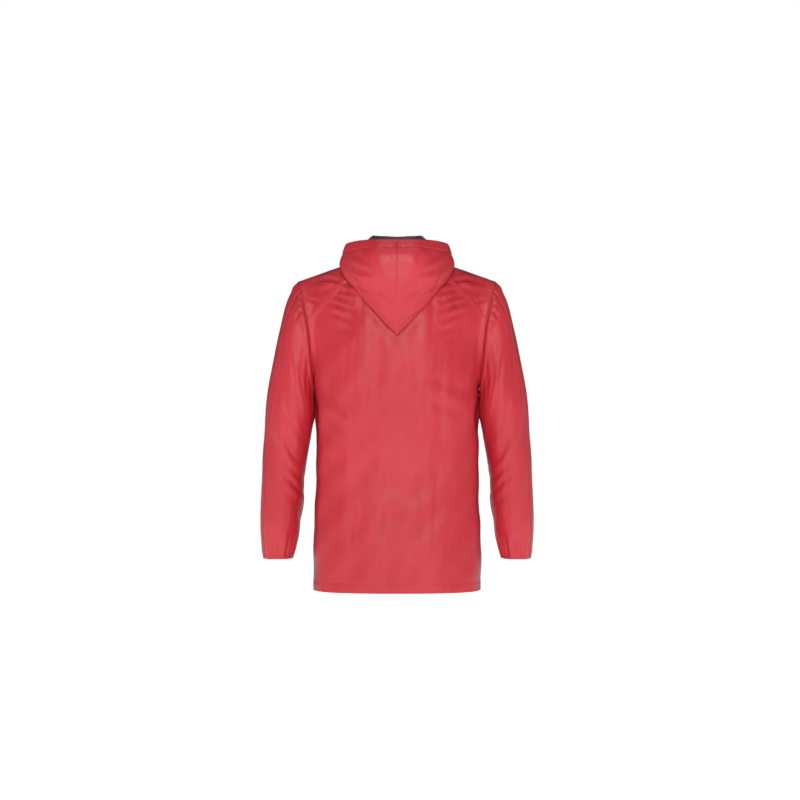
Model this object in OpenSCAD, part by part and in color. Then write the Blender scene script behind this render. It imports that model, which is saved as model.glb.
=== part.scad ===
// Hooded hardshell jacket, standing open as if worn, zipped up, with its hood folded down the back.
// The wearer faces -Y. The origin is the middle of the neck, level with the sides of the neck seam.

/* [Body] */
// Height from the hem to the side of the neck
body_length = 772; // [740:4:800]
// Half width of the body at the waist
waist_half = 189; // [180:1:190]
// Half width of the body at the hem
hem_half = 196; // [190:1:205]
// Half width of the body at the bottom of the armhole
chest_half = 193; // [191:1:193]
// Depth of the back behind the neck's middle, at the chest
chest_back = 118; // [112:1:124]
// Depth of the front before the neck's middle, at the hem
hem_front = 132; // [126:1:140]

/* [Shoulders and neck] */
// Half width between the shoulder points
shoulder_half = 234; // [230:1:236]
// How far the shoulder point lies below the neck
shoulder_drop = 52; // [44:1:56]
// How far the armhole seam curves in from a straight line
armhole_bow = 11.5; // [0:0.5:14]
// How far the bottom of the armhole lies below the neck
armhole_drop = 300; // [296:1:304]
// Half depth of the armhole, front to back
armhole_depth = 62; // [58:1:64]
// Half width of the neck opening
neck_half = 78; // [74:1:80]
// Depth of the neck opening behind its middle
neck_back = 65; // [62:1:68]
// How far the neck seam drops at the front
neck_drop = 72; // [66:1:76]
// Height of the collar's top at the front
collar_top = 63; // [55:1:68]
// Height of the collar's top at the back
collar_back_top = 26; // [20:1:28]

/* [Hood] */
// Half width of the folded hood
hood_half = 135; // [130:1:138]
// How far the hood's point hangs below the neck
hood_drop = 180; // [170:2:190]
// Height of the hood's brim
brim_z = 36; // [30:1:42]

/* [Cloth] */
// Thickness of the shell cloth
cloth = 1.5; // [1.2:0.1:1.6]
// Width of the turned hem at the bottom
hem_width = 20; // [15:1:25]

/* [Zips] */
// Half width of the gap between the front edges
zip_gap_half = 8; // [7:0.5:9]
// Length of a pull tab
pull_length = 32; // [24:1:38]

/* [Hidden] */

red = [0.72, 0.10, 0.13];
charcoal = [0.22, 0.20, 0.23];
metal = [0.35, 0.35, 0.37];

boxiness = 2.8;            // exponent of the body's rounded-box section
neck_exponent = 2.2;       // the same for the neck's oval
arch_exponent = 2.6;       // and for the arch over the shoulders
placket_half = 20;         // half width of the flat strip that carries the zip
zip_top_depth = 90;        // depth of the zip's top end before the neck's middle
waist_back = 112;          // depth of the back at the waist
hem_back = 126;            // and at the hem
neck_rise = 8;             // how far the neck seam rises at the back
yoke_start = 0.62;         // how far up the armhole the yoke seam meets it
gap = 0.5;                 // clearance along a seam
lining_out = 8.8;          // how far the body lining hangs inside the shell
lining_thick = 0.6;
lining_apart = 1;          // keeps the front and back linings clear of each other at the sides
lower_rows = 8;

// ---- small helpers ----
function lerp(a, b, t) = a + (b - a) * t;
function smooth(t) = let (c = max(0, min(1, t))) c * c * (3 - 2 * c);
function spow(v, p) = sign(v) * pow(abs(v), p);
function unit(v) = v / norm(v);

// Catmull-Rom curve through a list of stations, at place k
function station(list, k) =
  let (last = len(list) - 1, i = min(floor(k), last - 1), t = k - i,
       a = list[max(i - 1, 0)], b = list[i], c = list[i + 1], d = list[min(i + 2, last)])
  0.5 * (2 * b + (c - a) * t + (2 * a - 5 * b + 4 * c - d) * t * t + (3 * b - a - 3 * c + d) * t * t * t);

// ---- sheets: closed solids between two offsets below a grid of surface points ----
function normal_at(g, i, j, wrap) =
  let (r = len(g) - 1, n = len(g[0]), up = g[min(i + 1, r)][j] - g[max(i - 1, 0)][j],
       next = wrap ? (j + 1) % n : min(j + 1, n - 1), before = wrap ? (j + n - 1) % n : max(j - 1, 0))
  unit(cross(up, g[i][next] - g[i][before]));

module sheet(g, near, far, wrap = false) {
  rows = len(g);
  cols = len(g[0]);
  last = wrap ? cols - 1 : cols - 2;
  function at(layer, i, j) = (layer * rows + i) * cols + j % cols;
  points = [for (depth = [near, far], i = [0:rows - 1], j = [0:cols - 1])
    g[i][j] - depth * normal_at(g, i, j, wrap)];
  faces = concat(
    [for (i = [0:rows - 2], j = [0:last]) [at(0, i, j), at(0, i, j + 1), at(0, i + 1, j + 1), at(0, i + 1, j)]],
    [for (i = [0:rows - 2], j = [0:last]) [at(1, i, j), at(1, i + 1, j), at(1, i + 1, j + 1), at(1, i, j + 1)]],
    [for (j = [0:last]) [at(0, 0, j), at(1, 0, j), at(1, 0, j + 1), at(0, 0, j + 1)]],
    [for (j = [0:last], r = rows - 1) [at(0, r, j), at(0, r, j + 1), at(1, r, j + 1), at(1, r, j)]],
    wrap ? [] : [for (i = [0:rows - 2]) [at(0, i, 0), at(0, i + 1, 0), at(1, i + 1, 0), at(1, i, 0)]],
    wrap ? [] : [for (i = [0:rows - 2], c = cols - 1) [at(0, i, c), at(1, i, c), at(1, i + 1, c), at(0, i + 1, c)]]);
  polyhedron(points, [for (q = faces) each [[q[0], q[1], q[2]], [q[0], q[2], q[3]]]], convexity = 10);
}

module on_the_right(right) {
  if (right) mirror([1, 0, 0]) children();
  else children();
}

// ---- body surface below the armholes ----
function zip_depth(z) = lerp(hem_front, zip_top_depth, (z + body_length) / (collar_top + body_length));
function half_width(z) = waist_half + (hem_half - waist_half) * smooth((-z - 520) / 190)
  + (chest_half - waist_half) * (1 - smooth((-z - armhole_drop) / 50));
function back_depth(z) = waist_back + (chest_back - waist_back) * (1 - smooth((-z - armhole_drop) / 150))
  + (hem_back - waist_back) * smooth((-z - 480) / 220);
function corner(t) = pow(max(0, 1 - pow(t, boxiness)), 1 / boxiness);
function lower_back(x, z) = [x, max(gap / 2, back_depth(z) * corner(abs(x) / half_width(z))), z];
function lower_front(x, z) =
  [x, -max(gap / 2, zip_depth(z) * corner(max(0, x - placket_half) / (half_width(z) - placket_half))), z];

// ---- body surface from the armhole's bottom (s = 0) to the shoulder and neck seams (s = 1) ----
// The armhole's seam curves in between the shoulder point and the underarm
function armhole_in(s) = armhole_bow * sin(180 * pow(s, 1.3));
function armhole_half(s) = lerp(chest_half, shoulder_half, s) - armhole_in(s);
function armhole_y(s) = 2 * armhole_depth * sqrt(max(0, s * (1 - s)));
function shoulder_z(x) = -shoulder_drop * pow(max(0, x - neck_half) / (shoulder_half - neck_half), 1.1);
function neck_oval(t) = pow(max(0, 1 - pow(t, neck_exponent)), 1 / neck_exponent);
function arch(s) = pow(max(0, 1 - pow(s, arch_exponent)), 1 / arch_exponent);
function side_fade(t, s) = pow(max(0, 1 - pow(t, boxiness)), 1 / lerp(boxiness, 1.7, smooth(s / 0.5)));
// Depth at share t of the half width: the middle's depth, running into the armhole's edge
function across(middle, t, s) =
  max(gap / 2, pow(pow(armhole_y(s) * pow(t, 1.5), 3) + pow(middle * side_fade(t, s), 3), 1 / 3));
function neck_front_z(x) = -neck_drop * pow(max(0, 1 - pow(x / neck_half, 2)), 0.9);

function upper_back(x, s) =
  let (ax = abs(x),
       top_y = ax < neck_half ? neck_back * neck_oval(ax / neck_half) : 0,
       top_z = ax < neck_half ? neck_rise * (1 - pow(ax / neck_half, 2)) : shoulder_z(ax),
       middle = lerp(top_y, chest_back, arch(s)))
  [x, across(middle, min(1, ax / armhole_half(s)), s), lerp(-armhole_drop, top_z, s)];

function upper_front(x, s) =
  let (top_z = x < neck_half ? neck_front_z(x) : shoulder_z(x),
       inside = max(0, x - placket_half),
       top_y = x < neck_half ? zip_depth(top_z) * neck_oval(inside / (neck_half - placket_half)) : 0,
       flat_share = 1 - smooth(inside / 70),
       middle = lerp(top_y, zip_depth(-armhole_drop), lerp(arch(s), 1 - s, flat_share)))
  [x, -across(middle, min(1, inside / (armhole_half(s) - placket_half)), s), lerp(-armhole_drop, top_z, s)];

// Half width at which the front and back panels end: the armhole, then the yoke seam
function panel_half(s) = s <= yoke_start ? armhole_half(s)
  : armhole_half(s) * lerp(1, neck_half / shoulder_half, (s - yoke_start) / (1 - yoke_start));

// Shares of the half width from the middle (0) to the side seam (1), closer together at the corner
function shares(n) = [for (i = [0:n]) spow(sin(90 * i / n), 2 / boxiness)];
lower_z = [for (i = [0:lower_rows - 1]) lerp(-body_length, -armhole_drop, i / lower_rows)];
// Rows above the armhole's bottom; the last ones are shared with the shoulder yoke
yoke_s = concat([yoke_start + 0.015], [for (i = [1:6]) lerp(yoke_start, 1, sin(90 * i / 6))]);
upper_s = concat([for (i = [0:6]) yoke_start * (1 - cos(90 * i / 6))], yoke_s);

function back_row_lower(z, q) = [for (t = q) lower_back(t * half_width(z), z)];
function back_row_upper(s, q, half) = [for (t = q) upper_back(t * half, s)];
function both_sides(q) = concat([for (i = [len(q) - 1:-1:1]) -q[i]], q);

function front_x(t, half) = t < 0 ? zip_gap_half : placket_half + (half - placket_half) * t;
function front_row_lower(z, q) = [for (t = q) lower_front(front_x(t, half_width(z)), z)];
function front_row_upper(s, q, half) = [for (t = q) upper_front(front_x(t, half), s)];
// From the side seam to the front edge; -1 stands for the front edge itself
function front_shares(n) = let (q = shares(n)) concat([for (i = [n:-1:0]) q[i]], [-1]);

function back_grid(n, to_yoke) = let (q = both_sides(shares(n))) concat(
  [for (z = lower_z) back_row_lower(z, q)],
  [for (s = upper_s) back_row_upper(s, q, to_yoke ? panel_half(s) : armhole_half(s))]);
function front_grid(n, to_yoke) = let (q = front_shares(n)) concat(
  [for (z = lower_z) front_row_lower(z, q)],
  [for (s = upper_s) front_row_upper(s, q, to_yoke ? panel_half(s) : armhole_half(s))]);

// ---- shell panels ----
module back_panel() {
  color(red) sheet(back_grid(8, true), 0, cloth);
}

module front_panel(right) {
  color(red) on_the_right(right) difference() {
    sheet(front_grid(8, true), 0, cloth);
    in_pocket_frame() translate([-pocket_slot_half, -6, -pocket_length - 4])
      cube([2 * pocket_slot_half, 11, pocket_length + 8]);
  }
}

yoke_cols = 5;
function yoke_row(s, back) =
  [for (j = [0:yoke_cols], x = lerp(panel_half(s) + gap, armhole_half(s), j / yoke_cols))
    back ? upper_back(x, s) : upper_front(x, s)];

module shoulder_yoke(right) {
  grid = concat([for (s = yoke_s) yoke_row(s, true)], [for (i = [5:-1:0]) yoke_row(yoke_s[i], false)]);
  color(red) on_the_right(right) sheet(grid, 0, cloth);
}

// ---- collar ----
collar_rows = 3;
collar_base_gap = 0.5;
collar_taper = 0.05;
collar_flat = 61;          // half width of the front's level top edge
function collar_base(a) = let (q = spow(sin(a), 2 / neck_exponent))
  a <= 90 ? upper_back(neck_half * q, 1) : upper_front(placket_half + (neck_half - placket_half) * q, 1);
function collar_top_z(a, x) = a <= 90
  ? lerp(collar_top - neck_half + collar_flat, collar_back_top, smooth((90 - a) / 50))
  : collar_top - max(0, x - collar_flat);
function collar_point(a, h) =
  let (b = a > 180 ? upper_front(zip_gap_half, 1) : collar_base(a),
       z = collar_top_z(a, b[0]),
       x = b[0] - collar_taper * max(0, b[0] - placket_half),
       y = a <= 90 ? b[1] * (1 - collar_taper) : b[1] * zip_depth(z) / zip_depth(b[2]))
  lerp(b + [0, 0, collar_base_gap], [x, y, z], h);
collar_angles = concat([181], [for (i = [0:14]) 180 - 180 * i / 14]);
function collar_row(h) = concat([for (a = collar_angles) collar_point(a, h)],
  [for (i = [len(collar_angles) - 2:-1:0], p = [collar_point(collar_angles[i], h)]) [-p[0], p[1], p[2]]]);
function collar_grid(low, high) = [for (i = [0:collar_rows]) collar_row(lerp(low, high, i / collar_rows))];
// The row runs from the left front edge round the back, so its outward side is turned over
function flipped(g) = [for (row = g) [for (j = [len(row) - 1:-1:0]) row[j]]];

module collar_shell() {
  color(red) sheet(flipped(collar_grid(0, 1)), 0, cloth);
}

module collar_lining() {
  color(charcoal) difference() {
    sheet(flipped(collar_grid(0.04, 0.98)), cloth + 0.4, cloth + 1.0);
    translate([-placket_half, -200, -200]) cube([2 * placket_half, 200, 400]);
  }
}

// ---- facings, linings and seam tapes inside the shell ----
module hem_facing() {
  q = front_shares(8);
  function left(z) = let (row = front_row_lower(z, q)) [for (i = [0:8]) row[i]];
  function right(z) = let (row = left(z)) [for (i = [8:-1:0]) [-row[i][0], row[i][1], row[i][2]]];
  function around(z) = concat(right(z), back_row_lower(z, both_sides(shares(8))), left(z));
  color(charcoal)
    sheet([for (z = [-body_length + 0.5, -body_length + hem_width]) around(z)], cloth + 0.4, cloth + 1.0);
}

module lining_back() {
  g = back_grid(6, false);
  color(charcoal) translate([0, lining_apart, 0])
    sheet([for (i = [1:len(g) - 2]) g[i]], lining_out, lining_out + lining_thick);
}

module lining_front(right) {
  g = front_grid(6, false);
  color(charcoal) on_the_right(right) translate([0, -lining_apart, 0])
    sheet([for (i = [1:len(g) - 2]) [for (j = [0:6]) j == 6 ? g[i][j] + [4, 0, 0] : g[i][j]]],
      lining_out, lining_out + lining_thick);
}

tape_half = 11;
module side_seam_tape(right) {
  function row(z) = [for (x = [-tape_half, 0, tape_half])
    [half_width(z) * corner(abs(x) / back_depth(z)), -x, z]];
  color(charcoal) on_the_right(right)
    sheet([for (i = [0:9]) row(lerp(-body_length + hem_width + 4, -armhole_drop - 6, i / 9))],
      cloth + 1.4, cloth + 1.8);
}

module yoke_seam_tape(right) {
  steps = [for (i = [2:4]) yoke_s[i]];
  offsets = [-tape_half, 0, tape_half];
  color(charcoal) on_the_right(right) {
    sheet([for (s = steps) [for (d = offsets) upper_back(panel_half(s) + d, s)]], cloth + 1.1, cloth + 1.5);
    sheet([for (s = steps) [for (d = offsets) upper_front(panel_half(s) - d, s)]], cloth + 1.1, cloth + 1.5);
  }
}

module hanger_loop() {
  half = 32;
  sagitta = 9.5;
  strap = 1.2;
  radius = (half * half + sagitta * sagitta) / (2 * sagitta);
  color(charcoal) translate([0, 54.5 - sagitta + radius, neck_rise + 1]) linear_extrude(8)
    intersection() {
      difference() {
        circle(r = radius, $fn = 180);
        circle(r = radius - strap, $fn = 180);
      }
      translate([-half, -radius - 1]) square([2 * half, sagitta + 0.6]);
    }
}

module neck_label() {
  color("whitesmoke") translate([-20, 50.5, -32]) cube([40, 0.5, 32]);
}

module hood_cord_eyelets() {
  a = 152;
  h = 0.72;
  p = collar_point(a, h);
  n = unit(cross(collar_point(a, h + 0.05) - p, collar_point(a + 2, h) - p));
  color(metal) for (side = [0, 1]) on_the_right(side == 1)
    translate(p + 0.5 * n) rotate([0, acos(n[2]), atan2(n[1], n[0])]) difference() {
      cylinder(r = 5.5, h = 1.2, $fn = 48);
      translate([0, 0, -1]) cylinder(r = 2.6, h = 4, $fn = 48);
    }
}

// ---- zips: drawn with the closed chain along -Z from the top end, -Y outwards ----
coil_half = 1.1;           // half thickness of a coil
coil_inner = 0.9;          // the coils lie this far from the middle, so that the slider's post passes
coil_outer = 3.3;
tape_thick = 0.7;
slider_length = 12;
zip_length = norm([0, hem_front - zip_top_depth, collar_top + body_length]);
zip_tilt = asin((hem_front - zip_top_depth) / zip_length);
main_stack = 2.3;          // depth of the chain's middle below the cloth's face
pocket_stack = 3.4; 
main_rest = 8;             // how far the slider's top rests below the zip's top end
main_pin_out = 1.0;        // the main pull's pin lies this far above the slider's front plate
pocket_pin_out = 2.5;      // and a pocket pull's, which has to clear the welt
pin_r = 0.6;

module in_zip_frame() {
  translate([0, -zip_top_depth, collar_top]) rotate([-zip_tilt, 0, 0]) children();
}

// One side's woven tape
module tape(outer, length, stack) {
  translate([coil_outer - 1.4, stack - tape_thick / 2, -length]) cube([outer - coil_outer + 1.4, tape_thick, length]);
}

// One side's coil; the tape is let into it
module coil(length, stack) {
  difference() {
    translate([coil_inner, stack - coil_half, -length]) cube([coil_outer - coil_inner, 2 * coil_half, length]);
    translate([coil_outer - 1.5, stack - tape_thick / 2 - 0.05, -length - 1])
      cube([5, tape_thick + 0.1, length + 2]);
  }
}

// Slider: two plates with flanges, joined by a post between the coils, and a bridge that holds the pull
module slider(stack, half, pin_out) {
  module plate(thick) {
    rotate([90, 0, 0]) translate([0, 0, -thick]) linear_extrude(thick)
      polygon([[-half + 0.8, -slider_length], [half - 0.8, -slider_length], [half, -slider_length * 0.45],
        [half, -2], [half - 1.6, 0], [-half + 1.6, 0], [-half, -2], [-half, -slider_length * 0.45]]);
  }
  front = stack - coil_half - 0.3;
  back = stack + coil_half + 0.3;
  translate([0, front - 1.4, 0]) plate(1.4);
  translate([0, back, 0]) plate(1.2);
  for (side = [-1, 1]) {
    translate([side * (half - 1.2) - 0.5, front - 0.1, -slider_length * 0.8]) cube([1, 0.9, slider_length * 0.6]);
    translate([side * (half - 1.2) - 0.5, back - 0.8, -slider_length * 0.8]) cube([1, 0.9, slider_length * 0.6]);
  }
  translate([-0.6, front - 0.1, -3.4]) cube([1.2, back - front + 0.2, 2.4]);
  bridge(front - 1.4, pin_out);
}

module bridge(face, pin_out) {
  top = face - 2 * pin_out;
  for (z = [-slider_length / 2 - 4, -slider_length / 2 + 2.9])
    translate([-1.3, top - 0.8, z]) cube([2.6, 2 * pin_out + 0.9, 1.1]);
  translate([-1.3, top - 0.8, -slider_length / 2 - 4]) cube([2.6, 0.8, 8]);
}

// Pull: a pin under the bridge, two arms and a tab with a slot
module pull(stack, length, half, pin_out) {
  face = stack - coil_half - 0.3 - 1.4;
  y = face - pin_out;
  z = -slider_length / 2;
  arm = 1.0;
  translate([-3.0, y, z]) rotate([0, 90, 0]) cylinder(r = pin_r, h = 6, $fn = 32);
  for (side = [-1, 1]) translate([side * 2.5 - arm / 2, y - 0.5, z - 7.5]) cube([arm, 1.0, 7.5]);
  difference() {
    translate([-half, y - 0.6, z - length]) cube([2 * half, 1.2, length - 7]);
    translate([-half + 1.6, y - 2, z - length + 2.5]) cube([2 * half - 3.2, 4, length - 14]);
  }
}

module main_zip_tape(right) {
  color(charcoal) on_the_right(right) in_zip_frame() tape(15, zip_length - 1, main_stack);
}

module main_zip_coil(right) {
  color(charcoal) on_the_right(right) in_zip_frame() translate([0, 0, -4]) coil(zip_length - 18, main_stack);
}

module main_zip_top_stops() {
  color(metal) for (side = [0, 1]) on_the_right(side == 1) in_zip_frame()
    translate([coil_inner, main_stack - coil_half, -3.6]) difference() {
      cube([2.4, 2 * coil_half, 3]);
      translate([0.9, coil_half - tape_thick / 2 - 0.05, -1]) cube([5, tape_thick + 0.1, 5]);
    }
}

module main_zip_pin_and_box() {
  drop = zip_length - 1;
  color(metal) in_zip_frame() {
    difference() {
      translate([-5, main_stack - 1.8, -drop]) cube([10, 3.6, 9]);
      for (side = [-1, 1]) translate([side * 4.4 - 2.6, main_stack - tape_thick / 2 - 0.05, -drop - 1])
        cube([5.2, tape_thick + 0.1, 12]);
    }
  }
}

module main_zip_slider() {
  color(metal) in_zip_frame() translate([0, 0, -main_rest]) slider(main_stack, 5.4, main_pin_out);
}

module main_zip_pull() {
  color(metal) in_zip_frame() translate([0, 0, -main_rest]) pull(main_stack, pull_length, 4, main_pin_out);
}

module wind_flap() {
  color(charcoal) in_zip_frame() translate([-17, 6, -zip_length + 12]) cube([34, 0.8, zip_length - 20]);
}

// ---- hand pockets, drawn for the left and mirrored ----
pocket_top = [105, -455];
pocket_bottom = [125, -625];
pocket_slot_half = 6.5;
pocket_a = lower_front(pocket_top[0], pocket_top[1]);
pocket_b = lower_front(pocket_bottom[0], pocket_bottom[1]);
pocket_length = norm(pocket_a - pocket_b);
pocket_up = unit(pocket_a - pocket_b);
pocket_mid = (pocket_top + pocket_bottom) / 2;
pocket_across = lower_front(pocket_mid[0] + 5, pocket_mid[1]) - lower_front(pocket_mid[0] - 5, pocket_mid[1]);
pocket_in = -unit(cross(pocket_across, pocket_up));
pocket_side = cross(pocket_in, pocket_up);

module in_pocket_frame() {
  multmatrix([for (r = [0:2]) [pocket_side[r], pocket_in[r], pocket_up[r], pocket_a[r]]]) children();
}

module pocket_welt(right) {
  color(red) on_the_right(right) in_pocket_frame() difference() {
    translate([-11, -1.3, -pocket_length - 9]) cube([22, 0.9, pocket_length + 18]);
    translate([-5.6, -3, -pocket_length - 1]) cube([11.2, 6, pocket_length + 2]);
  }
}

module pocket_zip_tape(right) {
  color(charcoal) on_the_right(right) in_pocket_frame() for (side = [0, 1]) on_the_right(side == 1)
    translate([0, 0, 3]) tape(11, pocket_length + 6, pocket_stack);
}

module pocket_zip_coil(right) {
  color(charcoal) on_the_right(right) in_pocket_frame() for (side = [0, 1]) on_the_right(side == 1)
    coil(pocket_length, pocket_stack);
}

module pocket_slider(right) {
  color(metal) on_the_right(right) in_pocket_frame() slider(pocket_stack, 5.2, pocket_pin_out);
}

module pocket_pull(right) {
  color(metal) on_the_right(right) in_pocket_frame() pull(pocket_stack, pull_length * 0.8, 3.4, pocket_pin_out);
}

module pocket_bag(right) {
  function row(z) = [for (x = [152, 135, 115, 95, 75, 55]) lower_front(x, z)];
  color(charcoal) on_the_right(right)
    sheet([for (z = [-690, -650, -600, -550, -500, -445]) row(z)], 6.4, 7.0);
}

// ---- sleeves, drawn for the left and mirrored ----
// Each station: outer line x, z; inner line x, z; half depth; how far forward the arm hangs
sleeve_stations = [
  [235.2, -53, 194.4, -301, 61.5, 0],
  [263, -110, 194.5, -325, 67, 0],
  [288, -225, 193.5, -362, 71, 2],
  [306, -335, 203, -410, 68, 6],
  [315, -450, 213.5, -470, 62, 12],
  [322, -570, 222, -572, 58, 20],
  [323.5, -630, 229, -630, 53, 26],
  [321, -668, 238, -668, 46, 30],
  [317, -703, 247, -703, 37, 32]];
sleeve_end = len(sleeve_stations) - 1;
outer_seam = 36;           // angle of the seam down the back of the arm, from the outer line

// The first rows of the sleeve follow the armhole's seam
function sleeve_in(k, a) = armhole_in((1 + cos(a)) / 2) * (1 - smooth(k / 1.4));
function sleeve_point(k, a) =
  let (s = station(sleeve_stations, k),
       mid = [(s[0] + s[2]) / 2 - sleeve_in(k, a), -s[5], (s[1] + s[3]) / 2],
       out = [(s[0] - s[2]) / 2, 0, (s[1] - s[3]) / 2])
  mid + out * cos(a) + [0, s[4] * sin(a), 0];
function sleeve_grid(k0, k1, rows, a0, a1, cols) = [for (i = [0:rows])
  [for (j = [0:cols]) sleeve_point(lerp(k0, k1, i / rows), lerp(a0, a1, j / cols))]];
function sleeve_ring(k0, k1, rows, cols) = [for (i = [0:rows])
  [for (j = [0:cols - 1]) sleeve_point(lerp(k0, k1, i / rows), 360 * j / cols)]];

module sleeve_back(right) {
  color(red) on_the_right(right)
    sheet(sleeve_grid(0, sleeve_end, 16, outer_seam + 0.4, 179.6, 8), 0, cloth);
}

module sleeve_front(right) {
  color(red) on_the_right(right)
    sheet(sleeve_grid(0, sleeve_end, 16, 180.4, 360 + outer_seam - 0.4, 11), 0, cloth);
}

module sleeve_lining(right) {
  color(charcoal) on_the_right(right) sheet(sleeve_ring(0.35, 7.25, 12, 14), 4.2, 4.8, wrap = true);
}

module cuff_elastic(right) {
  color("dimgray") on_the_right(right) sheet(sleeve_ring(7.55, 7.95, 1, 20), cloth + 0.8, cloth + 1.5, wrap = true);
}

module cuff_facing(right) {
  color(charcoal) on_the_right(right) sheet(sleeve_ring(7.4, 8, 2, 20), cloth + 2.0, cloth + 2.6, wrap = true);
}

// ---- hood, folded down: from the brim down the outside to a fold, and up the inside to the neck ----
// Each station, from the middle of the back to the front end: brim x, y, z; fold x, z;
// how far the outside swells out and down from the brim, and out and up from the fold
hood_stations = [
  [0, 124, brim_z + 2.5, 0, -hood_drop - 4, 46, 46, 38, 68],
  [50, 117, brim_z + 2.5, 44, -hood_drop + 42, 44, 44, 34, 61],
  [97, 84, brim_z + 0.5, 0.65 * hood_half, -hood_drop + 92, 30, 36, 27, 42],
  [120, 38, brim_z - 6, 0.92 * hood_half, -38, 15, 30, 17, 15],
  [100, -14, brim_z - 26, 100, -4, 6, 6, 3, 5]];
hood_clear = 3.5;          // the folded hood lies this far off the back
outside_steps = 8;
inside_steps = 6;

function back_y(x, z) =
  let (top = upper_back(x, 1)[2], s = (min(z, top - 0.5) + armhole_drop) / (top + armhole_drop)) upper_back(x, s)[1];
function off_back(x, z) = [x, back_y(x, z) + hood_clear, z + hood_clear];
function hood_at(c) = let (h = station(hood_stations, 4 * abs(c)), turn = sign(c))
  [turn * h[0], h[1], h[2], turn * h[3], h[4], h[5], h[6], h[7], h[8]];
function bezier(a, b, c, d, t) =
  a * pow(1 - t, 3) + 3 * b * t * pow(1 - t, 2) + 3 * c * t * t * (1 - t) + d * pow(t, 3);
function hood_outside(c, t) =
  let (h = hood_at(c), f = 100 * c, out = [sin(f), cos(f), 0], brim = [h[0], h[1], h[2]], fold = off_back(h[3], h[4]))
  bezier(brim, brim + out * h[5] - [0, 0, h[6]], fold + out * h[7] + [0, 0, h[8]], fold, t);
function hood_inside(c, t) =
  let (h = hood_at(c), x = lerp(h[3], (neck_half + 8) * sin(85 * c), t)) off_back(x, lerp(h[4], lerp(12, 6, abs(c)), t));
// One column of the hood, from share v0 to v1 of the way from the brim to the neck
function hood_column(c) = concat(
  [for (i = [0:outside_steps]) hood_outside(c, i / outside_steps)],
  [for (i = [1:inside_steps]) hood_inside(c, i / inside_steps)]);
function hood_grid(columns, first, last) = [for (i = [first:last]) [for (c = columns) hood_column(c)[i]]];
hood_last = outside_steps + inside_steps;
hood_cols = [for (i = [0:10]) i == 10 ? 0.01 : 1 - i / 10];
lining_cols = [for (i = [2:10]) i == 10 ? 0.045 : 1 - i / 10];

module hood_panel(right) {
  color(red) on_the_right(right) sheet(hood_grid(hood_cols, 0, hood_last), 0, cloth);
}

module hood_lining() {
  color(charcoal) for (side = [0, 1]) on_the_right(side == 1)
    sheet(hood_grid(lining_cols, 1, hood_last), cloth + 0.9, cloth + 1.5);
}

module hood_brim_facing() {
  rows = hood_grid(lining_cols, 0, 1);
  color(charcoal) for (side = [0, 1]) on_the_right(side == 1)
    sheet([for (t = [0.04, 0.75]) lerp(rows[0], rows[1], t)], cloth + 0.5, cloth + 1.1);
}

back_panel();
front_panel(false);  // front_panel_left
front_panel(true);  // front_panel_right
shoulder_yoke(false);  // shoulder_yoke_left
shoulder_yoke(true);  // shoulder_yoke_right
collar_shell();
collar_lining();
hem_facing();
lining_back();
lining_front(false);  // lining_front_left
lining_front(true);  // lining_front_right
side_seam_tape(false);  // side_seam_tape_left
side_seam_tape(true);  // side_seam_tape_right
yoke_seam_tape(false);  // yoke_seam_tape_left
yoke_seam_tape(true);  // yoke_seam_tape_right
wind_flap();
hanger_loop();
neck_label();
hood_cord_eyelets();
main_zip_tape(false);  // main_zip_tape_left
main_zip_tape(true);  // main_zip_tape_right
main_zip_coil(false);  // main_zip_coil_left
main_zip_coil(true);  // main_zip_coil_right
main_zip_top_stops();
main_zip_pin_and_box();
main_zip_slider();
main_zip_pull();
pocket_welt(false);  // pocket_welt_left
pocket_welt(true);  // pocket_welt_right
pocket_zip_tape(false);  // pocket_zip_tape_left
pocket_zip_tape(true);  // pocket_zip_tape_right
pocket_zip_coil(false);  // pocket_zip_coil_left
pocket_zip_coil(true);  // pocket_zip_coil_right
pocket_bag(false);  // pocket_bag_left
pocket_bag(true);  // pocket_bag_right
pocket_slider(false);  // pocket_slider_left
pocket_slider(true);  // pocket_slider_right
pocket_pull(false);  // pocket_pull_left
pocket_pull(true);  // pocket_pull_right
sleeve_back(false);  // sleeve_back_left
sleeve_front(false);  // sleeve_front_left
sleeve_lining(false);  // sleeve_lining_left
cuff_elastic(false);  // cuff_elastic_left
cuff_facing(false);  // cuff_facing_left
sleeve_back(true);  // sleeve_back_right
sleeve_front(true);  // sleeve_front_right
sleeve_lining(true);  // sleeve_lining_right
cuff_elastic(true);  // cuff_elastic_right
cuff_facing(true);  // cuff_facing_right
hood_panel(false);  // hood_panel_left
hood_panel(true);  // hood_panel_right
hood_lining();
hood_brim_facing();
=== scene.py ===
import math
import bpy
import numpy as np
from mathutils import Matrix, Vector
from mathutils.kdtree import KDTree


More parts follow.
